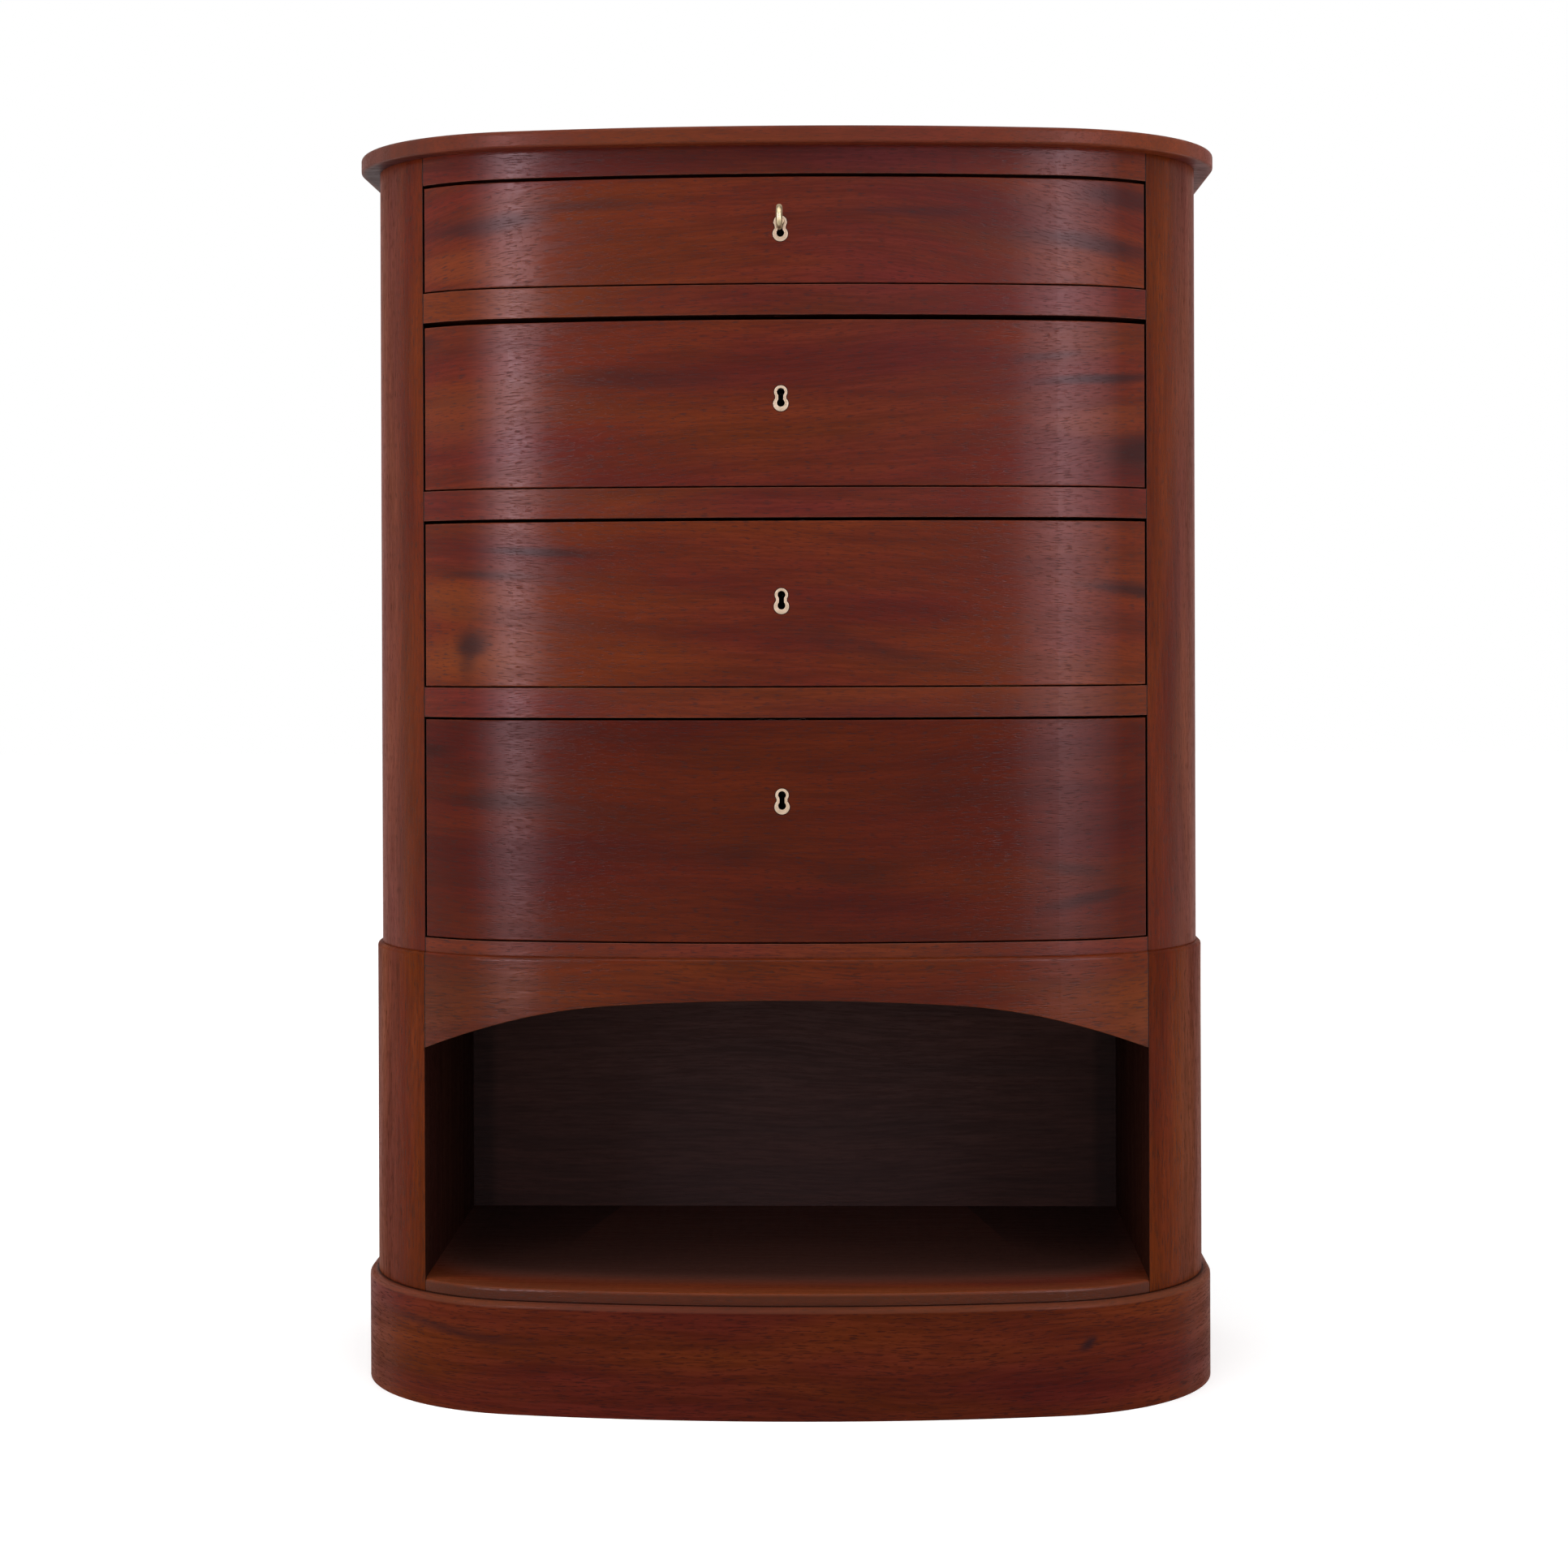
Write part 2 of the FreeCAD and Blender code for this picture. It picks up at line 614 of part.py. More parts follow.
def make_plinth(outlines):
    """Plinth: bow front with its corners, two straight sides and a back rail between them."""
    ring = cut("plinth_curve", outlines["plinth"], outlines["plinth_inside"])
    outer = "half_width + plinth_overhang"
    inner = "half_width + plinth_inside_grow"
    upright = ("0", "plinth_height")
    bow = block("plinth_bow", (f"-({outer} + overrun)", f"{outer} + overrun"),
                ("front_y - plinth_overhang - overrun", "widest_y"), upright)
    keep("plinth_front", common("plinth_front", ring, bow))
    solid = outlines["plinth"]
    for hand in HANDS:
        run = block(f"plinth_{hand}_run", sided(hand, inner, f"{outer} + overrun"),
                    ("widest_y", "back_y"), upright)
        keep(f"plinth_{hand}", common(f"plinth_{hand}", solid, run))
    rear = "back_y - plinth_back_setback"
    keep("plinth_back", block("plinth_back", (f"-({inner})", inner),
                              (f"{rear} - plinth_thickness", rear), upright))


def keyhole(name, head, foot, waist, drop, y, z):
    """Keyhole outline run along Y: a round head over a narrower waist and a round foot."""
    return fuse(name,
                rod(f"{name}_head", head, "lock_x", y, z),
                rod(f"{name}_foot", foot, "lock_x", y, f"{z} - {drop}"),
                block(f"{name}_waist", (f"lock_x - {waist}/2", f"lock_x + {waist}/2"), y,
                      (f"{z} - {drop}", z)))


def make_lock(number):
    """Lock with its long bolt, and the cutters that let it into the drawer front."""
    name = f"drawer_{number}"
    key_z = f"key_z_{number}"
    top_z = f"front_high_{number}"
    case_top = f"{key_z} + lock_above"
    wide = ("lock_x - lock_width/2", "lock_x + lock_width/2")
    narrow = ("lock_x - lock_strip_width/2", "lock_x + lock_strip_width/2")
    slot_x = ("lock_x - bolt_width/2 - bolt_clearance", "lock_x + bolt_width/2 + bolt_clearance")
    slot_y = ("bolt_front_y - bolt_clearance", "bolt_back_y + bolt_clearance")
    deep = ("lock_front_y", "inside_y")
    eye = keyhole(f"{name}_eye", "eye_radius", "eye_radius", "eye_waist_width", "eye_drop",
                  ("front_y - overrun", "lock_room_front_y"), key_z)
    plate = keyhole(f"{name}_plate", "plate_top_radius", "plate_foot_radius", "plate_waist_width",
                    "plate_drop", ("front_y - plate_proud", "front_y + plate_depth"), key_z)
    keep(f"{name}_escutcheon", cut(f"{name}_escutcheon", plate, eye))
    tub = block(f"{name}_lock_tub", wide, deep, (f"{key_z} - lock_below", case_top))
    strip = block(f"{name}_lock_strip", narrow, ("lock_room_back_y", "inside_y"), (case_top, top_z))
    cap = block(f"{name}_lock_cap", wide, deep, (f"{top_z} - lock_wall", top_z))
    room = block(f"{name}_lock_room",
                 ("lock_x - lock_width/2 + lock_wall", "lock_x + lock_width/2 - lock_wall"),
                 ("lock_room_front_y", "lock_room_back_y"),
                 (f"{key_z} - lock_below + lock_wall", f"{case_top} - lock_wall"))
    slot = block(f"{name}_bolt_slot", slot_x, slot_y, (key_z, f"{top_z} + overrun"))
    shell = cut(f"{name}_lock_shell", fuse(f"{name}_lock_blank", tub, strip, cap), room, slot, eye)
    pin = rod(f"{name}_lock_pin", "pin_radius", "lock_x", ("lock_front_y", "lock_room_back_y"), key_z)
    keep(f"{name}_lock", fuse(f"{name}_lock", shell, pin))
    shank = block(f"{name}_bolt_shank", ("lock_x - bolt_width/2", "lock_x + bolt_width/2"),
                  ("bolt_front_y", "bolt_back_y"), (f"{key_z} + bolt_foot", f"{top_z} - bolt_clearance"))
    tail = block(f"{name}_bolt_tail", ("lock_x - bolt_tail_width/2", "lock_x + bolt_tail_width/2"),
                 ("bolt_front_y", "bolt_back_y"),
                 (f"{key_z} + bolt_foot", f"{key_z} + bolt_foot + bolt_tail_height"))
    keep(f"{name}_bolt", fuse(f"{name}_bolt", shank, tail))
    open_y = ("lock_front_y", "inside_y + overrun")
    bed = block(f"{name}_lock_bed", wide, open_y, (f"{key_z} - lock_below", case_top))
    strip_bed = block(f"{name}_strip_bed", narrow, ("lock_room_back_y", "inside_y + overrun"),
                      (case_top, top_z))
    cap_bed = block(f"{name}_cap_bed", wide, open_y, (f"{top_z} - lock_wall", f"{top_z} + overrun"))
    channel = block(f"{name}_bolt_channel", slot_x, (slot_y[0], "inside_y"), (case_top, top_z))
    return [eye, plate, bed, strip_bed, cap_bed, channel]


def tail_wedge(name, number, hand, share):
    """One dovetail on the front end of a drawer side, wider at its tip."""
    wedge = doc.addObject("Part::Wedge", name)
    low, high = sided(hand, "drawer_inside_x", "drawer_half")
    middle = f"side_low_{number} + {share}*(side_high_{number} - side_low_{number})"
    ranges = {
        "Xmin": low, "X2min": low, "Xmax": high, "X2max": high,
        "Ymin": "end_face_y + tail_cover", "Ymax": "end_joint_y",
        "Zmin": f"{middle} - tail_width/2 - tail_flare", "Zmax": f"{middle} + tail_width/2 + tail_flare",
        "Z2min": f"{middle} - tail_width/2", "Z2max": f"{middle} + tail_width/2",
    }
    for prop, formula in ranges.items():
        bind(wedge, prop, formula)
    return wedge


def ease_face(name, blank):
    """Round the four edges of a drawer front's outer face."""
    doc.recompute()
    edges = []
    for index, edge in enumerate(blank.Shape.Edges, start=1):
        middle = edge.valueAt((edge.FirstParameter + edge.LastParameter) / 2)
        upright = edge.BoundBox.ZLength > edge.BoundBox.XLength + edge.BoundBox.YLength
        corner_reach = math.hypot(abs(middle.x) - plan.corner_x, middle.y - plan.widest_y)
        bow_reach = math.hypot(middle.x, middle.y - plan.bow_centre_y)
        on_corner = abs(corner_reach - sheet.corner_radius) < Part.Precision.confusion()
        on_bow = abs(bow_reach - sheet.bow_radius) < Part.Precision.confusion()
        outer_end = upright and middle.y < (plan.end_face_y + plan.end_joint_y) / 2
        if outer_end or (not upright and (on_corner or on_bow)):
            edges.append((index, sheet.drawer_edge_radius, sheet.drawer_edge_radius))
    eased = doc.addObject("Part::Fillet", name)
    eased.Base = blank
    eased.Edges = edges
    return eased


def make_drawer(number, outlines, front_curve):
    """Drawer with a bow front, dovetailed sides, a back and a bottom panel in grooves."""
    name = f"drawer_{number}"
    low, high = f"side_low_{number}", f"side_high_{number}"
    panel_z = (f"panel_low_{number}", f"panel_high_{number}")
    reach = "drawer_inside_x + panel_groove_side"
    floor = block(f"{name}_floor", (f"-({reach})", reach), ("front_y", "drawer_back_y"), panel_z)
    panel = keep(f"{name}_bottom", common(f"{name}_bottom", outlines["panel"], floor))
    cutters = [panel] + make_lock(number)
    for hand in HANDS:
        board = block(f"{name}_{hand}_board", sided(hand, "drawer_inside_x", "drawer_half"),
                      ("front_y", "drawer_back_y"), (low, high))
        shoulder = common(f"{name}_{hand}_shoulder", outlines["front_inside"], board)
        tails = [tail_wedge(f"{name}_{hand}_tail_{place}", number, hand, share)
                 for place, share in enumerate(TAIL_SHARES[number], start=1)]
        tailed = fuse(f"{name}_{hand}_tailed", shoulder, *tails)
        keep(f"{name}_{hand}_side", cut(f"{name}_{hand}_side", tailed, panel))
        cutters += tails
    face = block(f"{name}_face", ("-drawer_half", "drawer_half"), ("front_y - overrun", "widest_y"),
                 (f"front_low_{number}", f"front_high_{number}"))
    blank = common(f"{name}_front_blank", front_curve, face)
    keep(f"{name}_front", cut(f"{name}_front", ease_face(f"{name}_front_eased", blank), *cutters))
    keep(f"{name}_back", block(f"{name}_back", ("-drawer_inside_x", "drawer_inside_x"),
                               ("drawer_back_y - drawer_back_thickness", "drawer_back_y"),
                               (f"panel_high_{number}", f"{high} - drawer_back_drop")))


def make_key():
    """Barrel key in the top lock: a ring to hold, a collar, a hollow shaft and a bit."""
    key_z = "key_z_1"
    ring_y = "front_y - key_reach + key_ring_radius"
    ring = doc.addObject("Part::Torus", "key_ring")
    ring.Placement = FreeCAD.Placement(FreeCAD.Vector(), FreeCAD.Rotation(FreeCAD.Vector(0, 1, 0), 90))
    bind(ring, "Radius1", "key_ring_radius - key_wire_radius")
    bind(ring, "Radius2", "key_wire_radius")
    for axis, place in zip("xyz", ("lock_x", ring_y, key_z)):
        bind(ring, f"Placement.Base.{axis}", place)
    shaft_end = f"{ring_y} + key_ring_radius - key_wire_radius"
    tip = "lock_room_back_y - key_bit_gap"
    shaft = rod("key_shaft", "key_radius", "lock_x", (shaft_end, tip), key_z)
    collar = rod("key_collar", "key_collar_radius", "lock_x",
                 ("front_y - key_collar_gap - key_collar_length", "front_y - key_collar_gap"), key_z)
    bit = block("key_bit", ("lock_x - key_bit_thickness/2", "lock_x + key_bit_thickness/2"),
                ("lock_room_front_y + key_bit_gap", tip), (f"{key_z} - key_bit_reach", key_z))
    bore = rod("key_bore", "pin_radius + pin_clearance", "lock_x",
               ("lock_front_y - key_bit_gap", "lock_room_back_y"), key_z)
    keep("key", cut("key", fuse("key_blank", ring, shaft, collar, bit), bore))


def export():
    """Check every object of the document, then write each piece to its own file."""
    failed = [thing.Label for thing in doc.Objects if {"Invalid", "Error"} & set(thing.State)]
    for name, thing in parts.items():
        if thing.Shape.isNull() or not thing.Shape.isValid():
            failed.append(name)
    if failed:
        raise RuntimeError("failed: " + ", ".join(failed))
    os.makedirs("parts", exist_ok=True)
    for name, thing in parts.items():
        thing.Shape.exportStep(f"parts/{name}.step")
        print(f"{name}: {len(thing.Shape.Solids)} solids, {thing.Shape.Volume / 1000:.2f} cm3")
    print(len(parts), "pieces")


derive_places()
shapes = make_outlines()
make_top()
rail_tenons = make_rails(shapes)
make_case_sides(shapes, rail_tenons)
floor_board("case_bottom", shapes["case"], "upper", "step_z", "floor_4")
make_runners()
make_stops(shapes)
make_base(shapes)
make_plinth(shapes)
drawer_curve = cut("drawer_curve", shapes["case"], shapes["front_inside"])
for drawer in DRAWERS:
    make_drawer(drawer, shapes, drawer_curve)
make_key()
doc.recompute()
export()
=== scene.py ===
# %% [markdown]
# # A bow front chest of drawers
# This lesson dresses a chest that is already built at its real size. The chest is a tall mahogany case
# with round corner posts, four bowed drawers, an open niche under an arch, and a plinth. The boards are
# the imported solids, which stay where they are. The lesson gives them their finishes, adds the small
# screws that hold the locks and the drawer bottoms, and sets the light and the camera.

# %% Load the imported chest
import math

import bpy
from mathutils import Matrix, Vector


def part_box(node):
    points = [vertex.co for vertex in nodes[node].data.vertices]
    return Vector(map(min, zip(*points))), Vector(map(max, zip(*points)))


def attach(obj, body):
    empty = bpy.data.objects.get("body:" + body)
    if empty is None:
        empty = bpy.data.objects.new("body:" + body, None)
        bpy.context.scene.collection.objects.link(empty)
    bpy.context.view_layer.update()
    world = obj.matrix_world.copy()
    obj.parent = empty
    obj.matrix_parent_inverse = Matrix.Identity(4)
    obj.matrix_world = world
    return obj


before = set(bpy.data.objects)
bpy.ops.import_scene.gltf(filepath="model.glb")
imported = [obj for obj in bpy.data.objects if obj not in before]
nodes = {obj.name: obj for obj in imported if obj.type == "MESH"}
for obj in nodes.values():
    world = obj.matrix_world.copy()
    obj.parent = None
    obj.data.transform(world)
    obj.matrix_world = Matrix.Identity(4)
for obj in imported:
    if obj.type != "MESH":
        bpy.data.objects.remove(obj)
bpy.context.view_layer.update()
scene = bpy.context.scene
bpy.ops.object.select_all(action="DESELECT")

# %% [markdown]
# ## The plan of the chest
# Seen from above, the front is a wide shallow arc between two tighter corner arcs, which run on into
# straight sides. The grain of every bowed board follows that line, so the finishes need it. The centres
# of the arcs come from the case's width and the place of the front, and the two radii are the part's own.

# %% The lines that the finishes follow
DRAWERS = (1, 2, 3, 4)
BOW_RADIUS = 1.335
CORNER_RADIUS = 0.165

front_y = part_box("top_rail")[0].y
half_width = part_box("upper_right_side")[1].x
opening_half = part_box("arched_apron")[1].x
corner_x = half_width - CORNER_RADIUS
bow_y = front_y + BOW_RADIUS
meet_angle = math.asin(corner_x / (BOW_RADIUS - CORNER_RADIUS))
corner_y = bow_y - (BOW_RADIUS - CORNER_RADIUS) * math.cos(meet_angle)
print("corner centre", round(corner_x, 4), round(corner_y, 4), "bow centre", round(bow_y, 4))

# %% [markdown]
# ## The camera
# The photograph was taken from a little to the right of the middle, at about waist height, with upright
# lines kept upright. A camera that is tipped down would make them lean, so the camera looks almost level
# and its lens shift brings the chest back into the frame.

# %% Set the camera
PHOTO_SIDE = 1932
FOCAL_PIXELS = 3750.0
SENSOR_WIDTH = 36.0
CAMERA_PLACE = Vector((0.0635, -2.8139, 0.6830))
CAMERA_TURN = 0.02375
CAMERA_DIP = 0.00426
CAMERA_ROLL = -0.00321
LENS_SHIFT = -0.09

camera = bpy.data.objects.new("camera", bpy.data.cameras.new("camera"))
scene.collection.objects.link(camera)
camera.data.sensor_width = SENSOR_WIDTH
camera.data.lens = SENSOR_WIDTH * FOCAL_PIXELS / PHOTO_SIDE
camera.data.shift_y = LENS_SHIFT
turn = Matrix.Rotation(CAMERA_TURN, 4, "Z")
tilt = Matrix.Rotation(math.radians(90) - CAMERA_DIP, 4, "X")
roll = Matrix.Rotation(CAMERA_ROLL, 4, "Z")
camera.matrix_world = Matrix.Translation(CAMERA_PLACE) @ turn @ tilt @ roll
scene.camera = camera
print("lens", round(camera.data.lens, 2), "mm")

# %% [markdown]
# ## A bench for shader nodes
# A finish is a sheet of nodes, and so are the glow of a window and the white of the floor. Placing nodes
# by hand takes many lines, so this small helper adds a node, feeds its sockets with numbers or with other
# nodes, and gives back the socket to use next.


# %% Helpers for nodes
class Bench:
    """Adds nodes to one tree. A value may be a number, a colour, or another node's output."""

    def __init__(self, tree):
        self.tree = tree

    def feed(self, socket, value):
        if isinstance(value, bpy.types.NodeSocket):
            self.tree.links.new(value, socket)
        else:
            socket.default_value = value

    def add(self, kind, inputs=None, **settings):
        node = self.tree.nodes.new(kind)
        for name, value in settings.items():
            setattr(node, name, value)
        for socket, value in (inputs or {}).items():
            self.feed(node.inputs[socket], value)
        return node

    def math(self, operation, first, second=0.0):
        return self.add("ShaderNodeMath", {0: first, 1: second}, operation=operation).outputs[0]

    def vector(self, operation, first, second):
        return self.add("ShaderNodeVectorMath", {0: first, 1: second}, operation=operation).outputs[0]

    def length(self, vector):
        return self.add("ShaderNodeVectorMath", {0: vector}, operation="LENGTH").outputs["Value"]

    def hypotenuse(self, first, second):
        squares = [self.math("POWER", leg, 2.0) for leg in (first, second)]
        return self.math("SQRT", self.math("ADD", *squares))

    def split(self, vector):
        return self.add("ShaderNodeSeparateXYZ", {0: vector}).outputs

    def join(self, x, y, z):
        return self.add("ShaderNodeCombineXYZ", {0: x, 1: y, 2: z}).outputs[0]

    def noise(self, vector, waves, detail, roughness=0.5):
        placed = self.vector("MULTIPLY", vector, waves)
        values = {"Vector": placed, "Scale": 1.0, "Detail": detail, "Roughness": roughness}
        return self.add("ShaderNodeTexNoise", values).outputs["Fac"]

    def ramp(self, value, low, high, start=0.0, end=1.0):
        values = {"Value": value, "From Min": low, "From Max": high, "To Min": start, "To Max": end}
        return self.add("ShaderNodeMapRange", values, interpolation_type="SMOOTHSTEP").outputs["Result"]

    def between(self, share, start, end):
        return self.ramp(share, 0.0, 1.0, start, end)

    # A mix node has sockets 2 and 3 for numbers, and 6 and 7 for colours.
    def mix_numbers(self, share, first, second):
        return self.add("ShaderNodeMix", {0: share, 2: first, 3: second}).outputs[0]

    def mix(self, share, first, second):
        values = {0: share, 6: first, 7: second}
        return self.add("ShaderNodeMix", values, data_type="RGBA").outputs[2]

    def group(self, made, **inputs):
        node = self.add("ShaderNodeGroup", node_tree=made)
        for name, value in inputs.items():
            self.feed(node.inputs[name.replace("_", " ")], value)
        return node.outputs


SOCKETS = {"value": "NodeSocketFloat", "vector": "NodeSocketVector"}


def new_group(name, inputs, outputs):
    """An empty shader group with named sockets, its bench, its inputs and its output node."""
    made = bpy.data.node_groups.new(name, "ShaderNodeTree")
    for label, kind in inputs.items():
        made.interface.new_socket(name=label, in_out="INPUT", socket_type=SOCKETS[kind])
    for label, kind in outputs.items():
        made.interface.new_socket(name=label, in_out="OUTPUT", socket_type=SOCKETS[kind])
    bench = Bench(made)
    return made, bench, bench.add("NodeGroupInput").outputs, bench.add("NodeGroupOutput").inputs


def fresh_bench(holder):
    """An empty sheet of nodes for a lamp, the world or a material."""
    holder.use_nodes = True
    holder.node_tree.nodes.clear()
    return Bench(holder.node_tree)


print("sockets", sorted(SOCKETS))

# %% [markdown]
# ## The light
# Most of the light comes from a wide panel high in front of the chest, so the top casts its shade on the
# rail below it and the niche grows dark towards the back. Panels at both sides brighten the round posts,
# and one behind the camera and one behind the chest fill the rest.

# %% Hang the panels
CHEST_MIDDLE = (0.0, 0.0, 0.70)


def soft_light(name, place, size, watts, aim, fills=True, mirrored=True):
    """A rectangular light, turned towards a point. It fills shadows, shows in polish, or both."""
    lamp = bpy.data.lights.new(name, "AREA")
    lamp.shape = "RECTANGLE"
    lamp.size, lamp.size_y = size
    lamp.energy = watts
    holder = bpy.data.objects.new(name, lamp)
    holder.location = place
    holder.rotation_euler = (Vector(aim) - Vector(place)).to_track_quat("-Z", "Y").to_euler()
    holder.visible_camera = False
    holder.visible_diffuse = fills
    holder.visible_glossy = mirrored
    scene.collection.objects.link(holder)
    return holder


PANELS = (
    # name, place, size, watts
    ("camera_panel", (0.0, -4.00, 1.60), (3.5, 2.5), 18),
    ("rear_panel", (0.0, 3.20, 1.80), (3.5, 2.5), 40),
    ("left_panel", (-3.0, -0.75, 1.10), (2.0, 2.0), 57),
    ("right_panel", (3.0, -0.75, 1.10), (2.0, 2.0), 46),
)

soft_light("overhead_panel", (0.0, -1.25, 2.70), size=(4.0, 2.2), watts=54, aim=(0.0, -1.25, 0.0))
for name, place, size, watts in PANELS:
    soft_light(name, place, size, watts, aim=CHEST_MIDDLE, mirrored=False)

# %% [markdown]
# Tall windows show only as reflections. Two of them are mirrored where the shallow bow meets a round
# corner, which gives the two upright sheens on the drawers, and a faint bluish one cools the right half
# of the front. A bare lamp would have hard edges in the polish, so each window is graded by nodes: it
# fades from its inner edge outwards, and from its head down to its sill.

# %% Hang the windows
WINDOW_DISTANCE = 2.6
WINDOW_SILL = 0.0
WINDOW_HEAD = 2.2
DAYLIGHT = (1.0, 0.87, 1.0)
BLUE_SKY = (0.50, 0.60, 1.0)
LEFT, RIGHT = -1, 1
WINDOWS = (
    # name, side, inner and outer angle in degrees, brightness, colour, share of the width that its soft
    # edge takes, power of the fall outwards, and the fade upwards as (from, to, dimmest, brightest)
    ("left_window", LEFT, (24.3, 66.0), 28.5, DAYLIGHT, 0.02, 2.7, (0.0, 0.50, 0.37, 1.0)),
    ("right_window", RIGHT, (19.6, 70.0), 18.5, DAYLIGHT, 0.12, 1.1, (0.0, 0.50, 0.28, 1.0)),
    ("sky_window", RIGHT, (-8.0, 20.0), 0.9, BLUE_SKY, 0.45, 0.0, (0.25, 0.65, 0.0, 1.0)),
)


def grade(window, side, soft_edge, fall, upwards):
    """Fades a window across its width, from the inner edge, and over its height."""
    bench = fresh_bench(window.data)
    across, up, _ = bench.split(bench.add("ShaderNodeNewGeometry").outputs["Parametric"])
    if side == LEFT:
        across = bench.math("SUBTRACT", 1.0, across)
    falling = bench.math("POWER", bench.math("SUBTRACT", 1.0, across), fall)
    glow = bench.math("MULTIPLY", bench.ramp(across, 0.0, soft_edge), falling)
    glow = bench.math("MULTIPLY", glow, bench.ramp(up, *upwards))
    surface = bench.add("ShaderNodeEmission", {"Strength": glow}).outputs[0]
    bench.add("ShaderNodeOutputLight", {"Surface": surface})


middle_height = (WINDOW_SILL + WINDOW_HEAD) / 2
for name, side, angles, brightness, colour, soft_edge, fall, upwards in WINDOWS:
    inner, outer = [math.radians(angle) for angle in angles]
    meeting = Vector((side * BOW_RADIUS * math.sin(meet_angle), front_y, middle_height))
    angle = (inner + outer) / 2
    away = Vector((side * math.sin(angle), -math.cos(angle), 0.0))
    size = (2 * WINDOW_DISTANCE * math.tan((outer - inner) / 2), WINDOW_HEAD - WINDOW_SILL)
    watts = math.pi * size[0] * size[1] * brightness
    window = soft_light(name, meeting + away * WINDOW_DISTANCE, size, watts, aim=meeting, fills=False)
    window.data.color = colour
    grade(window, side, soft_edge, fall, upwards)
    print(name, [round(length, 2) for length in size])

# %% [markdown]
# ## The surround and the floor
# The background is plain white. The world is white only to the camera and in reflections, and dim to
# everything else, so that it doesn't wash out the wood. The floor is a pale sheet that is lifted to
# white in the same way, more so far off, and it still takes the shadow of the chest.

# %% Make the white surround
SURROUND_LEVEL = 0.25
WHITE = (1.0, 1.0, 1.0, 1.0)


def seen_straight_or_mirrored(bench):
    """1 for a ray from the camera, a mirror or a pane, and 0 for light that only falls on things."""
    path = bench.add("ShaderNodeLightPath").outputs
    seen = bench.math("MAXIMUM", path["Is Camera Ray"], path["Is Glossy Ray"])
    return bench.math("MAXIMUM", seen, path["Is Transmission Ray"])


scene.world = bpy.data.worlds.new("white_surround")
b = fresh_bench(scene.world)
level = b.between(seen_straight_or_mirrored(b), SURROUND_LEVEL, 1.0)
background = b.add("ShaderNodeBackground", {"Color": WHITE, "Strength": level})
b.add("ShaderNodeOutputWorld", {"Surface": background.outputs[0]})
scene.view_settings.view_transform = "Standard"
print("surround", SURROUND_LEVEL)

# %% Lay the floor
FLOOR_REACH = 14.0
NEAR_LIFT = 0.42
FAR_LIFT = 0.85
NEAR_RADIUS = 0.6
FAR_RADIUS = 3.0
PAPER = (0.82, 0.82, 0.82, 1.0)

bpy.ops.mesh.primitive_plane_add(size=2 * FLOOR_REACH)
floor = bpy.context.object
floor.name = "floor"
paper = bpy.data.materials.new("pale_paper")
b = fresh_bench(paper)
spread = b.length(b.add("ShaderNodeTexCoord").outputs["Object"])
lift = b.ramp(spread, NEAR_RADIUS, FAR_RADIUS, NEAR_LIFT, FAR_LIFT)
lift = b.math("MULTIPLY", lift, seen_straight_or_mirrored(b))
sheet = b.add("ShaderNodeBsdfDiffuse", {"Color": PAPER}).outputs[0]
glow = b.add("ShaderNodeEmission", {"Strength": lift}).outputs[0]
both = b.add("ShaderNodeAddShader", {0: sheet, 1: glow}).outputs[0]
b.add("ShaderNodeOutputMaterial", {"Surface": both})
floor.data.materials.append(paper)
print("floor", 2 * FLOOR_REACH, "m across")

# %% [markdown]
# ## Unrolling the bow
# Veneer and bent boards carry their grain round the curve. A pattern that is thrown straight at the
# front would smear on the round corners, so this group unrolls the plan: it gives the length along the
# face, the depth behind the face, and the height. Behind the round corner the side is straight.

# %% Group: length round the front, depth and height
unrolled, b, given, result = new_group("unrolled_front", {"Place": "vector"}, {"Along": "vector"})
x, y, z = b.split(given["Place"])
reach = b.math("ABSOLUTE", x)
back_from_bow = b.math("SUBTRACT", bow_y, y)
bow_angle = b.math("ARCTAN2", reach, back_from_bow)
bow_length = b.math("MULTIPLY", bow_angle, BOW_RADIUS)
bow_depth = b.math("SUBTRACT", BOW_RADIUS, b.hypotenuse(reach, back_from_bow))
past_corner = b.math("SUBTRACT", reach, corner_x)
before_corner = b.math("MAXIMUM", b.math("SUBTRACT", corner_y, y), 0.0)
corner_turn = b.math("SUBTRACT", b.math("ARCTAN2", past_corner, before_corner), meet_angle)
corner_length = b.math("MULTIPLY", corner_turn, CORNER_RADIUS)
run_on = b.math("MAXIMUM", b.math("SUBTRACT", y, corner_y), 0.0)
corner_length = b.math("ADD", b.math("ADD", corner_length, run_on), BOW_RADIUS * meet_angle)
corner_depth = b.math("SUBTRACT", CORNER_RADIUS, b.hypotenuse(past_corner, before_corner))
on_corner = b.math("GREATER_THAN", bow_angle, meet_angle)
length = b.mix_numbers(on_corner, bow_length, corner_length)
length = b.math("MULTIPLY", length, b.math("SIGN", x))
depth = b.mix_numbers(on_corner, bow_depth, corner_depth)
b.feed(result["Along"], b.join(length, depth, z))
print(unrolled.name, len(unrolled.nodes), "nodes")

# %% [markdown]
# ## Mahogany figure
# Mahogany shows four things at four scales: slow clouds of orange and purple wood, soft streaks along
# the grain, fine lines in the streaks, and open pores that lie as short dark dashes. The group builds each
# from noise that is stretched along the grain. Arch and Slope bend the streaks, as in a board that was
# cut across a curved stem.

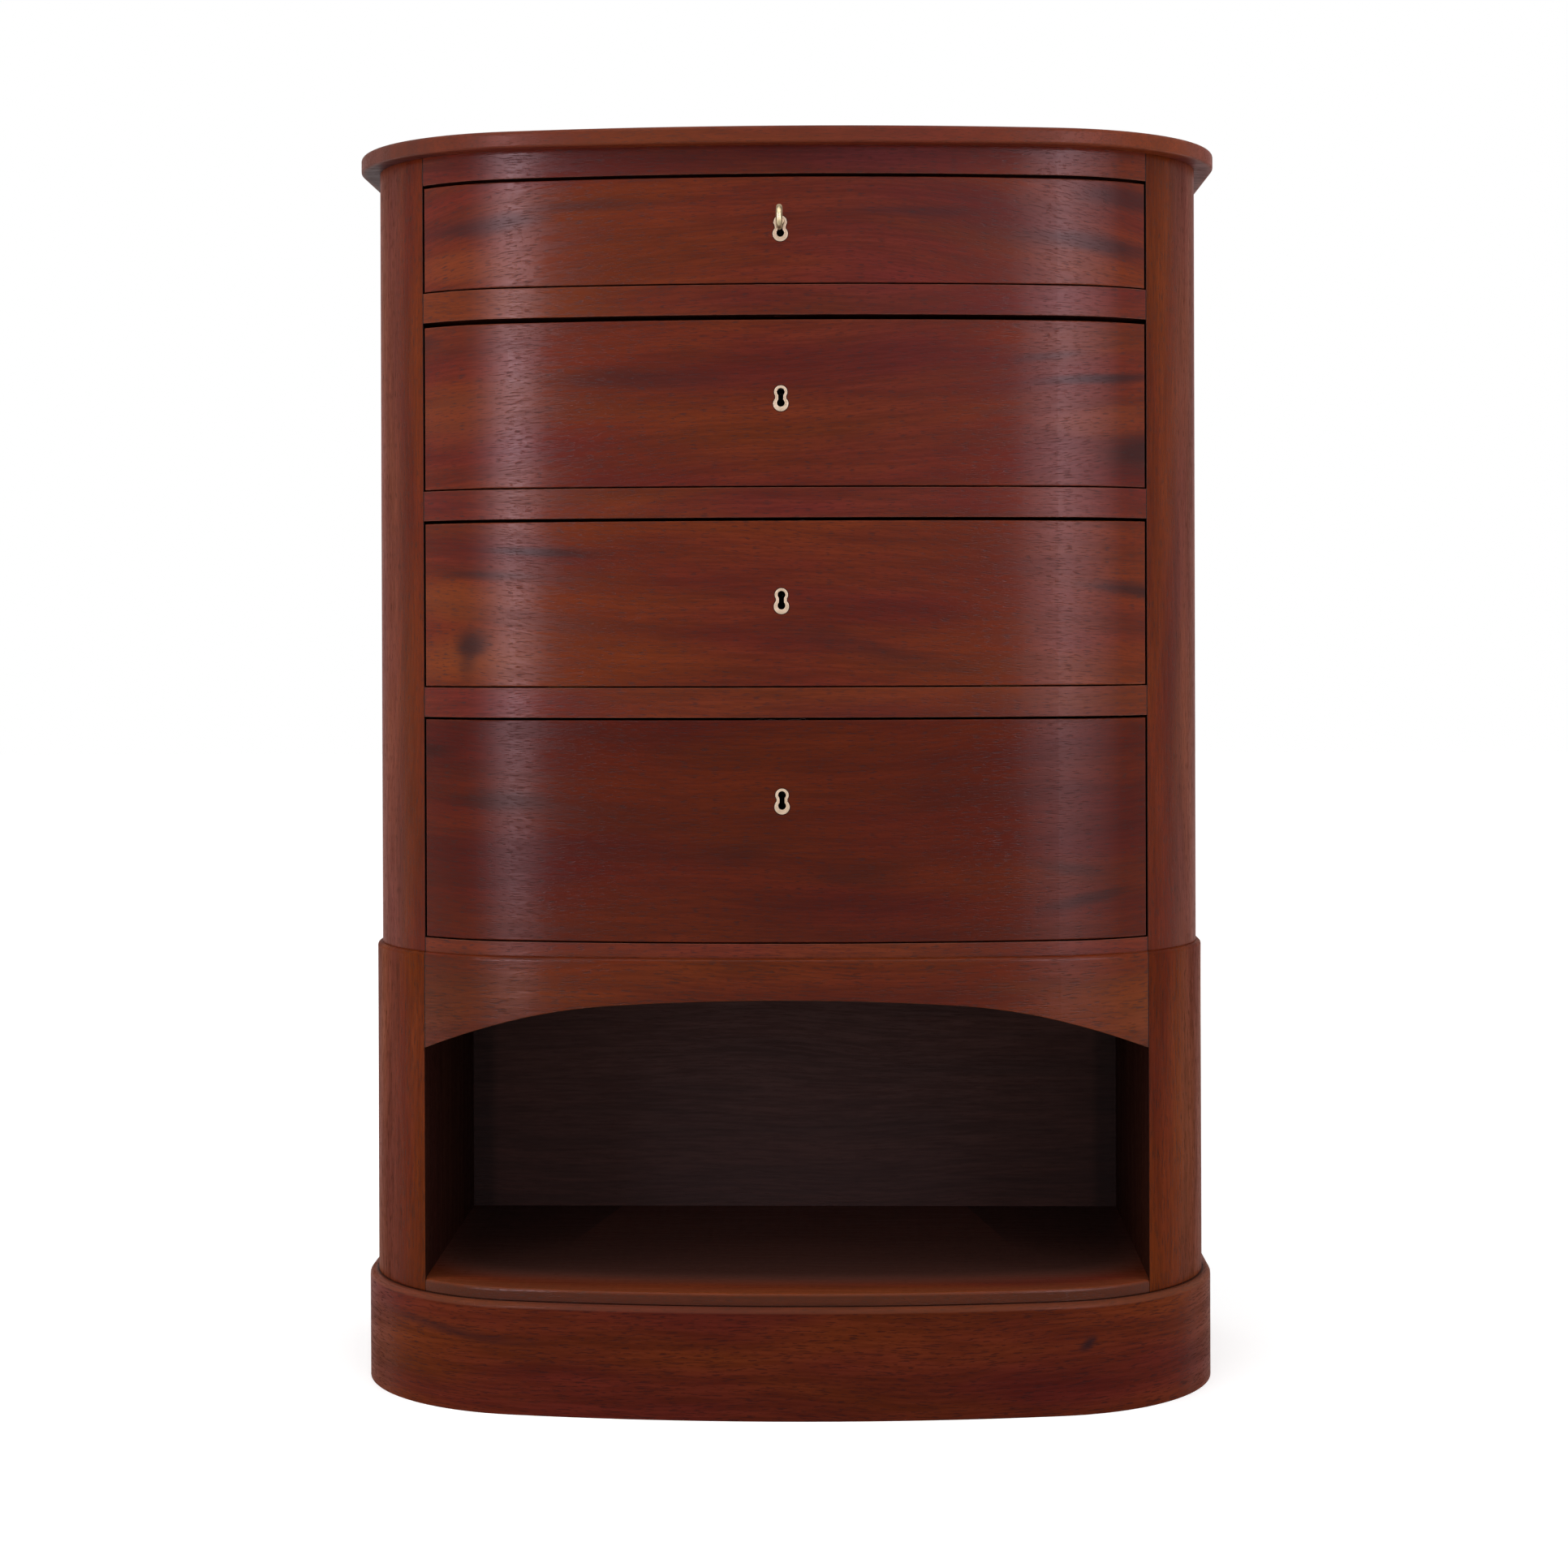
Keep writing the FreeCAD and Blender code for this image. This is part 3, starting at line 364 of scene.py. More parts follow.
# %% Group: the figure of mahogany
SWAY_WAVES = (3.0, 3.0, 6.0)
SWAY = 0.032
LAYERS = {
    # waves in a metre along the grain, into the board and across the grain, detail, roughness, and the
    # part of the noise that is spread from 0 to 1
    "Streak": ((3.6, 36.0, 46.0), 3.0, 0.6, (0.30, 0.70)),
    "Cloud": ((3.2, 13.0, 17.0), 3.0, 0.5, (0.28, 0.72)),
    "Line": ((22.0, 260.0, 400.0), 3.0, 0.6, (0.30, 0.70)),
    "Pore": ((110.0, 1000.0, 1100.0), 1.0, 0.5, (0.56, 0.68)),
}

figure, b, given, result = new_group(
    "mahogany_figure",
    {"Grain": "vector", "Cut": "vector", "Arch": "value", "Slope": "value"},
    {label: "value" for label in LAYERS},
)
along, depth, across = b.split(b.vector("ADD", given["Grain"], given["Cut"]))
from_middle = b.split(given["Grain"])[0]
rise = b.math("MULTIPLY", b.math("POWER", from_middle, 2.0), given["Arch"])
rise = b.math("ADD", rise, b.math("MULTIPLY", from_middle, given["Slope"]))
bent = b.join(along, depth, b.math("ADD", across, rise))
sway = b.math("SUBTRACT", b.noise(bent, SWAY_WAVES, 1.0), 0.5)
bent = b.vector("ADD", bent, b.join(0.0, 0.0, b.math("MULTIPLY", sway, SWAY)))
for label, (waves, detail, roughness, part) in LAYERS.items():
    b.feed(result[label], b.ramp(b.noise(bent, waves, detail, roughness), *part))
print(figure.name, len(figure.nodes), "nodes")

# %% [markdown]
# ## Marks on single boards
# Some boards have a mark of their own: a dark streak, a knot, an amber patch, a pale edge where the
# polish has rubbed thin, which is also a painted highlight, or the thin dark line of a joint. A soft oval
# with a ragged rim serves for streaks, knots and patches. The joint line lies where the rails and the arch
# meet the posts, and a thin dark rim lies round the keyhole plates. The rubbed edge is found by comparing
# the face with a slightly rounded one.

# %% Groups: a soft mark and a joint line
RAGGED_WAVES = (9.0, 0.0, 55.0)
RAGGEDNESS = 1.1
MARK_FADE = (0.15, 1.15)
JOINT_FADE = (0.4, 1.0)

mark, b, given, result = new_group(
    "soft_mark",
    {"Grain": "vector", "Middle": "vector", "Half size": "vector", "Lean": "value"},
    {"Mask": "value"},
)
along, _, across = b.split(b.vector("SUBTRACT", given["Grain"], given["Middle"]))
across = b.math("SUBTRACT", across, b.math("MULTIPLY", along, given["Lean"]))
offset = b.vector("DIVIDE", b.join(along, 0.0, across), given["Half size"])
ragged = b.math("SUBTRACT", b.noise(given["Grain"], RAGGED_WAVES, 3.0), 0.5)
distance = b.math("ADD", b.length(offset), b.math("MULTIPLY", ragged, RAGGEDNESS))
b.feed(result["Mask"], b.ramp(distance, *MARK_FADE, 1.0, 0.0))

joint, b, given, result = new_group(
    "joint_line", {"Place": "vector", "Half gap": "value"}, {"Mask": "value"}
)
sideways = b.math("ABSOLUTE", b.split(given["Place"])[0])
from_joint = b.math("ABSOLUTE", b.math("SUBTRACT", sideways, opening_half))
from_joint = b.math("DIVIDE", from_joint, given["Half gap"])
b.feed(result["Mask"], b.ramp(from_joint, *JOINT_FADE, 1.0, 0.0))
print(mark.name, joint.name)

# %% Groups: a plate rim and a rubbed edge
PLATE_HEAD = 0.0057
PLATE_FOOT = 0.00655
PLATE_WAIST = 0.0093
PLATE_DROP = 0.01015
RIM_FADE = (0.0011, 0.0003)
BEVEL_SAMPLES = 4
EDGE_AGREEMENT = (0.99, 0.80)
PATCH_WAVES = (60.0, 60.0, 60.0)
PATCHES = (0.35, 0.65, 0.35, 1.0)

rim, b, given, result = new_group(
    "plate_rim", {"Place": "vector", "Middle": "vector"}, {"Mask": "value"}
)
sideways, _, upwards = b.split(b.vector("SUBTRACT", given["Place"], given["Middle"]))
sideways = b.math("ABSOLUTE", sideways)
outside_waist = b.math("SUBTRACT", sideways, PLATE_WAIST / 2)
beyond_waist = b.math("SUBTRACT", b.math("ABSOLUTE", upwards), PLATE_DROP / 2)
outside = b.math("MAXIMUM", outside_waist, beyond_waist)
for radius, rise in ((PLATE_HEAD, PLATE_DROP / 2), (PLATE_FOOT, -PLATE_DROP / 2)):
    from_end = b.length(b.join(sideways, 0.0, b.math("SUBTRACT", upwards, rise)))
    outside = b.math("MINIMUM", outside, b.math("SUBTRACT", from_end, radius))
b.feed(result["Mask"], b.ramp(outside, *RIM_FADE))

edge, b, given, result = new_group(
    "rubbed_edge", {"Place": "vector", "Radius": "value"}, {"Mask": "value", "Normal": "vector"}
)
bevel = b.add("ShaderNodeBevel", {"Radius": given["Radius"]}, samples=BEVEL_SAMPLES)
rounded = bevel.outputs["Normal"]
flat = b.add("ShaderNodeNewGeometry").outputs["True Normal"]
agree = b.add("ShaderNodeVectorMath", {0: rounded, 1: flat}, operation="DOT_PRODUCT")
worn_and_highlight = b.ramp(agree.outputs["Value"], *EDGE_AGREEMENT)
patchy = b.ramp(b.noise(given["Place"], PATCH_WAVES, 3.0), *PATCHES)
b.feed(result["Mask"], b.math("MULTIPLY", worn_and_highlight, patchy))
b.feed(result["Normal"], rounded)
print(rim.name, edge.name)

# %% [markdown]
# ## Polished mahogany
# All the boards that show share one recipe: figure, marks, joint lines, rubbed edges that are also a
# painted highlight, and dirt and painted shade under a satin polish. Each board gets its own cut of the
# figure, so that no streak runs on from a drawer into a rail. The gloss is low and varies with the grain.
# Pores are rougher and lie a hair below the surface. There are three levels of shine: the fronts, rails,
# arch and shelf are polished, the top and the upper posts and sides are waxed, and the plinth and the
# lower posts and sides are scuffed.

# %% Colours and measures of the mahogany
PURPLE = (0.094, 0.0108, 0.0066, 1.0)
ORANGE = (0.124, 0.0205, 0.0042, 1.0)
SMOKE = (0.026, 0.0090, 0.0085, 1.0)
AMBER = (0.185, 0.0430, 0.0110, 1.0)
PORE = (0.022, 0.0060, 0.0045, 1.0)
# Pale colour where the polish is rubbed thin, which also serves as a painted highlight on edges and bands.
RUBBED_AND_HIGHLIGHT = (0.260, 0.0850, 0.0400, 1.0)
# Dark colour of dust in the joints, and also of the painted shade in gaps, at the foot of the base and on
# the shelf.
DUST_AND_SHADE = (0.008, 0.0040, 0.0035, 1.0)
PLAIN = (1.0, 1.0, 1.0)
STREAK_TONES = (0.84, 1.12)
LINE_TONES = (0.86, 1.12)
PORE_SHARE = 0.62
JOINT_SHARE = 0.85
RIM_SHARE = 0.80
EDGE_RADIUS = 0.0011
JOINT_HALF_GAP = 0.0007
LINE_ROUGHNESS = (0.15, 0.06)
STREAK_ROUGHNESS = (0.06, 0.0)
PORE_ROUGHNESS = 0.20
LINE_RELIEF = 0.15
RELIEF_DEPTH = 0.00006
GLANCING_DULLNESS = 0.36
GLANCING_RANGE = (0.42, 0.72)
POLISHED = 0.075
WAXED = 0.035
SCUFFED = 0.016
GRAIN_WAYS = {"round": (0, 1, 2), "up": (2, 1, 0)}
BANDS = ("length", "depth", "height")
# Painted shade in the gaps round the drawers, on the faces just behind the front.
PAINTED_GAP_SHADE = ("depth", (0.0006, 0.0014), (0.0120, 0.0060), 0.85, DUST_AND_SHADE)
print("shine", POLISHED, WAXED, SCUFFED)


# %% Steps that every finish shares
def grain_vector(bench, way, place):
    """Coordinates with the grain along X: round the front, straight up, or along the width."""
    if way == "width_level":
        x, y, z = bench.split(place)
        return bench.join(x, z, y)
    if way == "width_upright":
        return place
    along = bench.split(bench.group(unrolled, Place=place)["Along"])
    return bench.join(*[along[i] for i in GRAIN_WAYS[way]])


def finish_shader(bench, colour, roughness, height, normal, depth, **polish):
    """The surface: colour, shallow relief, and a gloss that dulls where the eye glances along it."""
    bump = {"Strength": 1.0, "Distance": depth, "Height": height, "Normal": normal}
    relief = bench.add("ShaderNodeBump", bump).outputs["Normal"]
    facing = bench.add("ShaderNodeLayerWeight", {"Blend": 0.5}).outputs["Facing"]
    glancing = bench.ramp(facing, *GLANCING_RANGE, 0.0, GLANCING_DULLNESS)
    roughness = bench.math("ADD", roughness, glancing)
    inputs = {"Base Color": colour, "Roughness": roughness, "Normal": relief}
    inputs.update({name.replace("_", " "): value for name, value in polish.items()})
    surface = bench.add("ShaderNodeBsdfPrincipled", inputs).outputs[0]
    bench.add("ShaderNodeOutputMaterial", {"Surface": surface})


def new_material(name):
    """An empty material, its bench and the place on the piece."""
    made = bpy.data.materials.new(name)
    bench = fresh_bench(made)
    return made, bench, bench.add("ShaderNodeTexCoord").outputs["Object"]


def evenly(bench, colour, factor):
    """A colour made darker or lighter by one factor."""
    return bench.vector("MULTIPLY", colour, bench.join(factor, factor, factor))


def covered(bench, colour, other, mask, share):
    """A colour that is covered by another one where a mask lies, up to a share."""
    return bench.mix(bench.math("MULTIPLY", mask, share), colour, other)


def finish(material, *names):
    """Puts a material on CAD nodes in place of the plain one."""
    for name in names:
        nodes[name].data.materials.clear()
        nodes[name].data.materials.append(material)
    print(material.name, "on", len(names))


# %% The mahogany recipe
def mahogany(
    name, way, cut, arch=0.0, slope=0.0, marks=(), tint=PLAIN, joints=True, rub_and_highlight=0.5, worn_and_highlight=(), dirt_and_shade=(),
    plate=None, shine=POLISHED,
):
    """A polished mahogany board.

    Each mark is (middle along, middle across, half length, half height, lean, depth). It is dark where
    the depth is above 0, and amber where it is below.
    The bands in worn_and_highlight are (axis, start, end, amount), with the polish thinner from start to
    end;
    they are paler, on the top and the plinth also as a painted highlight.
    The bands in dirt_and_shade are (axis, where it sets in, where it has gone, amount, colour); they lay
    dust, and painted shade.
    The axis of a band is depth or height. A plate is the middle of a keyhole plate.
    """
    made, bench, place = new_material(name)
    grain = grain_vector(bench, way, place)
    shown = bench.group(figure, Grain=grain, Cut=cut, Arch=arch, Slope=slope)
    colour = bench.mix(shown["Cloud"], PURPLE, ORANGE)
    colour = evenly(bench, colour, bench.between(shown["Streak"], *STREAK_TONES))
    colour = evenly(bench, colour, bench.between(shown["Line"], *LINE_TONES))
    for along, across, half_length, half_height, lean, depth in marks:
        soft = bench.group(
            mark,
            Grain=grain,
            Middle=(along, 0.0, across),
            Half_size=(half_length, 1.0, half_height),
            Lean=lean,
        )["Mask"]
        colour = covered(bench, colour, SMOKE if depth > 0.0 else AMBER, soft, abs(depth))
    colour = covered(bench, colour, PORE, shown["Pore"], PORE_SHARE)
    # Pale edges: rubbed polish, and a painted highlight where the edges catch the light.
    rubbed = bench.group(edge, Place=place, Radius=EDGE_RADIUS)
    colour = covered(bench, colour, RUBBED_AND_HIGHLIGHT, rubbed["Mask"], rub_and_highlight)
    bands = dict(zip(BANDS, bench.split(bench.group(unrolled, Place=place)["Along"])))
    # Paler bands of thin polish, which on the top and the plinth are also a painted highlight.
    for axis, start, end, amount in worn_and_highlight:
        colour = bench.mix(bench.ramp(bands[axis], start, end, 0.0, amount), colour, RUBBED_AND_HIGHLIGHT)
    colour = bench.vector("MULTIPLY", colour, tint)
    # Bands of dust, and of painted shade in gaps, along contact lines and over the shelf's middle.
    for axis, sets_in, gone, amount, dirt_and_shade_colour in dirt_and_shade:
        layer = bench.ramp(bands[axis], *sets_in, 0.0, amount)
        layer = bench.math("MULTIPLY", layer, bench.ramp(bands[axis], *gone))
        colour = bench.mix(layer, colour, dirt_and_shade_colour)
    if joints:
        seam = bench.group(joint, Place=place, Half_gap=JOINT_HALF_GAP)["Mask"]
        colour = covered(bench, colour, DUST_AND_SHADE, seam, JOINT_SHARE)
    if plate:
        ring = bench.group(rim, Place=place, Middle=plate)["Mask"]
        colour = covered(bench, colour, DUST_AND_SHADE, ring, RIM_SHARE)
    satin = bench.between(shown["Line"], *LINE_ROUGHNESS)
    satin = bench.math("ADD", satin, bench.between(shown["Streak"], *STREAK_ROUGHNESS))
    satin = bench.math("ADD", satin, bench.math("MULTIPLY", shown["Pore"], PORE_ROUGHNESS))
    height = bench.math("SUBTRACT", bench.math("MULTIPLY", shown["Line"], LINE_RELIEF), shown["Pore"])
    finish_shader(
        bench, colour, satin, height, rubbed["Normal"], RELIEF_DEPTH, Specular_IOR_Level=shine
    )
    return made


# %% [markdown]
# ## The four drawer fronts
# Every front is a piece of the same wood, but the streaks run differently. The first rises in a low arch
# over the keyhole, the second climbs to the right, the third falls to the right and has a knot near its
# left end, and the fourth is the darkest, through a painted shade of the light falling off towards the
# floor, and has faint smudges in the middle. The marks are set in metres along the bow and above the
# lower edge of the front.

# %% Finish the drawer fronts
FRONTS = {
    1: {
        "cut": (0.0, 0.0, 0.30), "arch": 0.36, "tint": (1.06, 1.06, 1.30),
        "marks": (
            (-0.275, 0.054, 0.105, 0.013, 0.12, 0.65),
            (-0.170, 0.069, 0.090, 0.007, 0.02, 0.40),
            (-0.285, 0.020, 0.080, 0.018, 0.05, -0.35),
            (0.120, 0.062, 0.080, 0.006, -0.04, 0.45),
            (0.290, 0.034, 0.080, 0.011, -0.10, 0.75),
            (0.300, 0.078, 0.075, 0.014, -0.12, 0.60),
            (0.200, 0.050, 0.090, 0.035, -0.08, 0.25),
        ),
    },
    2: {
        "cut": (3.1, 0.0, 0.70), "slope": -0.06, "tint": (1.0, 1.0, 1.15),
        "marks": (
            (0.285, 0.094, 0.075, 0.006, 0.06, 0.80),
            (0.235, 0.113, 0.050, 0.005, 0.10, 0.55),
            (0.325, 0.028, 0.055, 0.022, 0.10, 0.80),
            (-0.130, 0.092, 0.130, 0.012, -0.02, 0.40),
            (-0.330, 0.128, 0.030, 0.010, 0.00, 0.50),
            (-0.300, 0.062, 0.075, 0.030, 0.02, -0.35),
            (0.290, 0.058, 0.070, 0.016, 0.05, -0.35),
        ),
    },
    3: {
        "cut": (5.7, 0.0, 1.90), "slope": 0.05,
        "marks": (
            (-0.215, 0.117, 0.075, 0.005, -0.05, 0.75),
            (-0.265, 0.098, 0.070, 0.006, -0.04, 0.55),
            (0.320, 0.082, 0.070, 0.009, -0.10, 0.80),
            (-0.280, 0.024, 0.085, 0.026, 0.02, -0.55),
            (-0.300, 0.075, 0.070, 0.022, 0.02, -0.35),
            (-0.277, 0.036, 0.022, 0.016, 0.00, 0.80),
            (-0.282, 0.022, 0.014, 0.024, 0.00, 0.50),
            (0.080, 0.030, 0.090, 0.014, -0.22, 0.35),
        ),
    },
    # The fourth front's darker tint is a painted shade of the light falling off towards the floor.
    4: {
        "cut": (8.3, 0.0, 0.20), "arch": -0.10, "tint": (0.67, 0.51, 0.42),
        "marks": (
            (-0.330, 0.166, 0.050, 0.008, 0.00, 0.60),
            (-0.250, 0.122, 0.060, 0.012, 0.00, 0.50),
            (-0.040, 0.076, 0.040, 0.014, 0.10, 0.32),
            (0.065, 0.056, 0.050, 0.012, -0.06, 0.38),
            (0.270, 0.036, 0.060, 0.008, 0.18, 0.65),
            (0.260, 0.060, 0.050, 0.008, -0.14, 0.50),
        ),
    },
}


def plate_middle(n):
    """The point half way between the two round ends of a drawer's keyhole plate."""
    low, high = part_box(f"drawer_{n}_escutcheon")
    return ((low.x + high.x) / 2, 0.0, (low.z + PLATE_FOOT + high.z - PLATE_HEAD) / 2)


for n, look in FRONTS.items():
    lower_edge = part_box(f"drawer_{n}_front")[0].z
    marks = [(along, lower_edge + up, *rest) for along, up, *rest in look.pop("marks")]
    front = mahogany(
        f"mahogany_front_{n}", "round", marks=marks, dirt_and_shade=[PAINTED_GAP_SHADE], plate=plate_middle(n), **look
    )
    finish(front, f"drawer_{n}_front")

# %% [markdown]
# ## Rails, posts, sides, arch, top and plinth
# The rails, the arch and the plinth carry their grain round the bow. Posts and sides are long boards, so
# theirs runs straight up. The top is one wide board with its grain along the width, and so is the shelf.
# Painted shade lies on the plinth's ledge and at the foot of the base, and the shelf's front face is
# darker.
# The shelf is dusty behind its rubbed front, and grows dark towards the back, partly as painted shade.

# %% Where the dirt lies on the base
plinth_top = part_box("plinth_front")[1].z
FROM_FLOOR = (0.0, 0.02)
AT_FOOT = (plinth_top + 0.0014, plinth_top + 0.0004)
AT_EDGE = (plinth_top + 0.0110, plinth_top + 0.0080)
SHELF_DUST = (0.088, 0.0290, 0.0190, 1.0)
# Painted shade on the plinth's ledge, where the base stands on it.
PAINTED_LEDGE_SHADE = ("depth", (-0.0070, -0.0054), (0.0300, 0.0200), 0.75, DUST_AND_SHADE)
# Painted shade in a thin line at the foot of the base, just above the ledge.
PAINTED_FOOT_SHADE = ("height", AT_FOOT, FROM_FLOOR, 0.75, DUST_AND_SHADE)
# The shelf's front face is darker below its rounded edge.
DARKER_SHELF_FACE = ("height", AT_EDGE, FROM_FLOOR, 0.42, DUST_AND_SHADE)
SHELF_GRIME = ("depth", (0.010, 0.070), (1.0, 0.9), 1.0, SHELF_DUST)
# Painted shade over the shelf behind its front, where the light falls off.
PAINTED_SHELF_SHADE = ("depth", (0.030, 0.085), (0.30, 0.12), 0.60, DUST_AND_SHADE)
print("ledge at", round(plinth_top, 4))

# %% Finish the rails, posts and sides
finish(
    mahogany(
        "mahogany_rails", "round", (1.3, 0.0, 4.4), tint=(1.04, 1.14, 1.45), rub_and_highlight=0.8, dirt_and_shade=[PAINTED_GAP_SHADE]
    ),
    "top_rail", "divider_rail_1", "divider_rail_2", "divider_rail_3", "case_bottom",
)
finish(
    mahogany(
        "mahogany_uprights", "up", (0.4, 0.0, 2.2), tint=(0.90, 0.95, 0.72), rub_and_highlight=0.25,
        dirt_and_shade=[PAINTED_GAP_SHADE], shine=WAXED,
    ),
    "upper_left_post", "upper_right_post", "upper_left_side", "upper_right_side",
)
finish(
    mahogany(
        "mahogany_base_uprights", "up", (6.2, 0.0, 5.1), tint=(0.92, 1.02, 0.50), rub_and_highlight=0.2,
        dirt_and_shade=[PAINTED_FOOT_SHADE], shine=SCUFFED,
    ),
    "lower_left_post", "lower_right_post", "lower_left_side", "lower_right_side",
)

# %% Finish the arch, shelf, top and plinth
arch_low, arch_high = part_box("arched_apron")
arch_middle = (arch_low.z + arch_high.z) / 2
finish(
    mahogany(
        "mahogany_arch", "round", (2.7, 0.0, 6.6), tint=(0.90, 0.88, 0.40),
        marks=[
            (-0.300, arch_middle, 0.130, 0.060, 0.0, 0.22),
            (0.300, arch_middle, 0.130, 0.060, 0.0, -0.30),
        ],
    ),
    "arched_apron",
)
finish(
    mahogany(
        "mahogany_shelf", "width_level", (4.9, 0.0, 1.2), tint=(0.86, 0.80, 0.60), joints=False,
        worn_and_highlight=[("depth", 0.030, -0.001, 0.26)],
        dirt_and_shade=[PAINTED_FOOT_SHADE, DARKER_SHELF_FACE, SHELF_GRIME, PAINTED_SHELF_SHADE],
    ),
    "base_shelf",
)
# The paler band along the top's front edge is worn polish and a painted highlight.
finish(
    mahogany(
        "mahogany_top", "width_level", (7.4, 0.0, 3.3), joints=False, tint=(1.0, 1.0, 1.20),
        worn_and_highlight=[("depth", -0.010, -0.016, 0.20)], shine=WAXED,
        marks=[(-0.400, -0.02, 0.165, 0.30, 0.0, 0.80)],
    ),
    "top_board",
)
# The plinth's tint darkens its red as a painted shade of the light falling off towards the floor, and the
# paler band on its nose is worn polish and a painted highlight.
finish(
    mahogany(
        "mahogany_plinth", "round", (9.6, 0.0, 2.9), tint=(0.80, 0.92, 1.10), joints=False,
        worn_and_highlight=[("height", plinth_top - 0.0055, plinth_top - 0.0035, 0.24)],
        dirt_and_shade=[PAINTED_LEDGE_SHADE], shine=SCUFFED,
        marks=[
            (0.262, 0.062, 0.010, 0.007, 0.6, 0.9),
            (-0.300, 0.070, 0.090, 0.006, -0.10, 0.5),
        ],
    ),
    "plinth_front", "plinth_left", "plinth_right",
)

# %% [markdown]
# ## Inner woods
# What doesn't show when the chest is shut is plainer wood: stained boards at the back, pale hardwood for
# the drawer sides, thin panels for the bottoms, and pine for the runners. They share one recipe for
# unpolished wood, with other colours and another cut of the same figure. The back boards are held by rows
# of pins that are driven flush, so these are dots in the finish: a row up each side, and one along each
# upper and lower edge. Their inner face has a painted shade near the sides, in the corners of the niche.

# %% Group: rows of pins in the back boards
PIN_SPACING = 0.075
PIN_RADIUS = 0.0017
PIN_CORE = 0.8 * PIN_RADIUS
PIN_INSET = 0.009

pinned, b, given, result = new_group("rows_of_pins", {"Place": "vector"}, {"Mask": "value"})
x, _, z = b.split(given["Place"])


def from_pin(bench, along, off_row):
    """The distance from the nearest pin of a row."""
    values = {0: along, 1: PIN_SPACING / 2, 2: -PIN_SPACING / 2}
    from_nearest = bench.add("ShaderNodeMath", values, operation="WRAP").outputs[0]
    return bench.hypotenuse(from_nearest, off_row)


pin_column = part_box("upper_back")[1].x - PIN_INSET
nearest = from_pin(b, z, b.math("SUBTRACT", b.math("ABSOLUTE", x), pin_column))
for board in ("upper_back", "lower_back"):
    board_low, board_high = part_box(board)
    for row in (board_low.z + PIN_INSET, board_high.z - PIN_INSET):
        nearest = b.math("MINIMUM", nearest, from_pin(b, x, b.math("SUBTRACT", z, row)))
b.feed(result["Mask"], b.ramp(nearest, PIN_RADIUS, PIN_CORE))
print(pinned.name, len(pinned.nodes), "nodes")

# %% The plain wood recipe
IRON = (0.020, 0.0160, 0.0140, 1.0)
CORNER_SHADE = (0.290, 0.308)
CORNER_TONE = 0.5
FACING_FRONT = (-0.2, -0.6)
GROWTH_SHARES = (0.55, 1.0)
PLAIN_LINE_TONES = (0.84, 1.08)
PLAIN_PORE_SHARE = 0.45
GREY_EDGE_SHARE = 0.35
PLAIN_ROUGHNESS_STEP = 0.06
PLAIN_LINE_RELIEF = 0.4
PLAIN_RELIEF_DEPTH = 0.00012
UNPOLISHED = 0.1


def facing_front(bench, normal):
    """1 on a face that looks to the front of the chest, and 0 on the others."""
    looks = bench.split(bench.add("ShaderNodeNewGeometry").outputs[normal])
    return bench.ramp(looks[1], *FACING_FRONT)


def plain_wood(name, way, cut, dark, light, roughness, back_board=False):
    """Unpolished wood: two colours of growth, fine lines, and edges that have gone grey.

    A back board also has its pins and the shade in the corners of its inner face.
    """
    made, bench, place = new_material(name)
    grain = grain_vector(bench, way, place)
    shown = bench.group(figure, Grain=grain, Cut=cut, Arch=0.0, Slope=0.0)
    growth = bench.math("MULTIPLY", shown["Streak"], bench.between(shown["Cloud"], *GROWTH_SHARES))
    colour = bench.mix(growth, dark, light)
    colour = evenly(bench, colour, bench.between(shown["Line"], *PLAIN_LINE_TONES))
    colour = covered(bench, colour, dark, shown["Pore"], PLAIN_PORE_SHARE)
    rubbed = bench.group(edge, Place=place, Radius=EDGE_RADIUS)
    colour = covered(bench, colour, light, rubbed["Mask"], GREY_EDGE_SHARE)
    if back_board:
        # Painted shade: the inner face is darker near the sides, in the corners of the niche.
        shade = bench.ramp(bench.math("ABSOLUTE", bench.split(place)[0]), *CORNER_SHADE)
        shade = bench.math("MULTIPLY", shade, facing_front(bench, "True Normal"))
        colour = evenly(bench, colour, bench.between(shade, 1.0, CORNER_TONE))
        colour = bench.mix(bench.group(pinned, Place=place)["Mask"], colour, IRON)
    dullest, brightest = roughness + PLAIN_ROUGHNESS_STEP, roughness - PLAIN_ROUGHNESS_STEP
    dull = bench.between(shown["Line"], dullest, brightest)
    lines = bench.math("MULTIPLY", shown["Line"], PLAIN_LINE_RELIEF)
    height = bench.math("SUBTRACT", lines, shown["Pore"])
    finish_shader(
        bench, colour, dull, height, rubbed["Normal"], PLAIN_RELIEF_DEPTH, Specular_IOR_Level=UNPOLISHED
    )
    return made


# %% Finish the inner woods
STAIN_DARK = (0.050, 0.0190, 0.0150, 1.0)
STAIN_LIGHT = (0.080, 0.0300, 0.0230, 1.0)
OAK_DARK = (0.360, 0.2150, 0.1000, 1.0)
OAK_LIGHT = (0.560, 0.3900, 0.2150, 1.0)
BIRCH_DARK = (0.480, 0.3200, 0.1700, 1.0)
BIRCH_LIGHT = (0.640, 0.4800, 0.2900, 1.0)
PINE_DARK = (0.430, 0.2300, 0.0900, 1.0)
PINE_LIGHT = (0.640, 0.4300, 0.2200, 1.0)

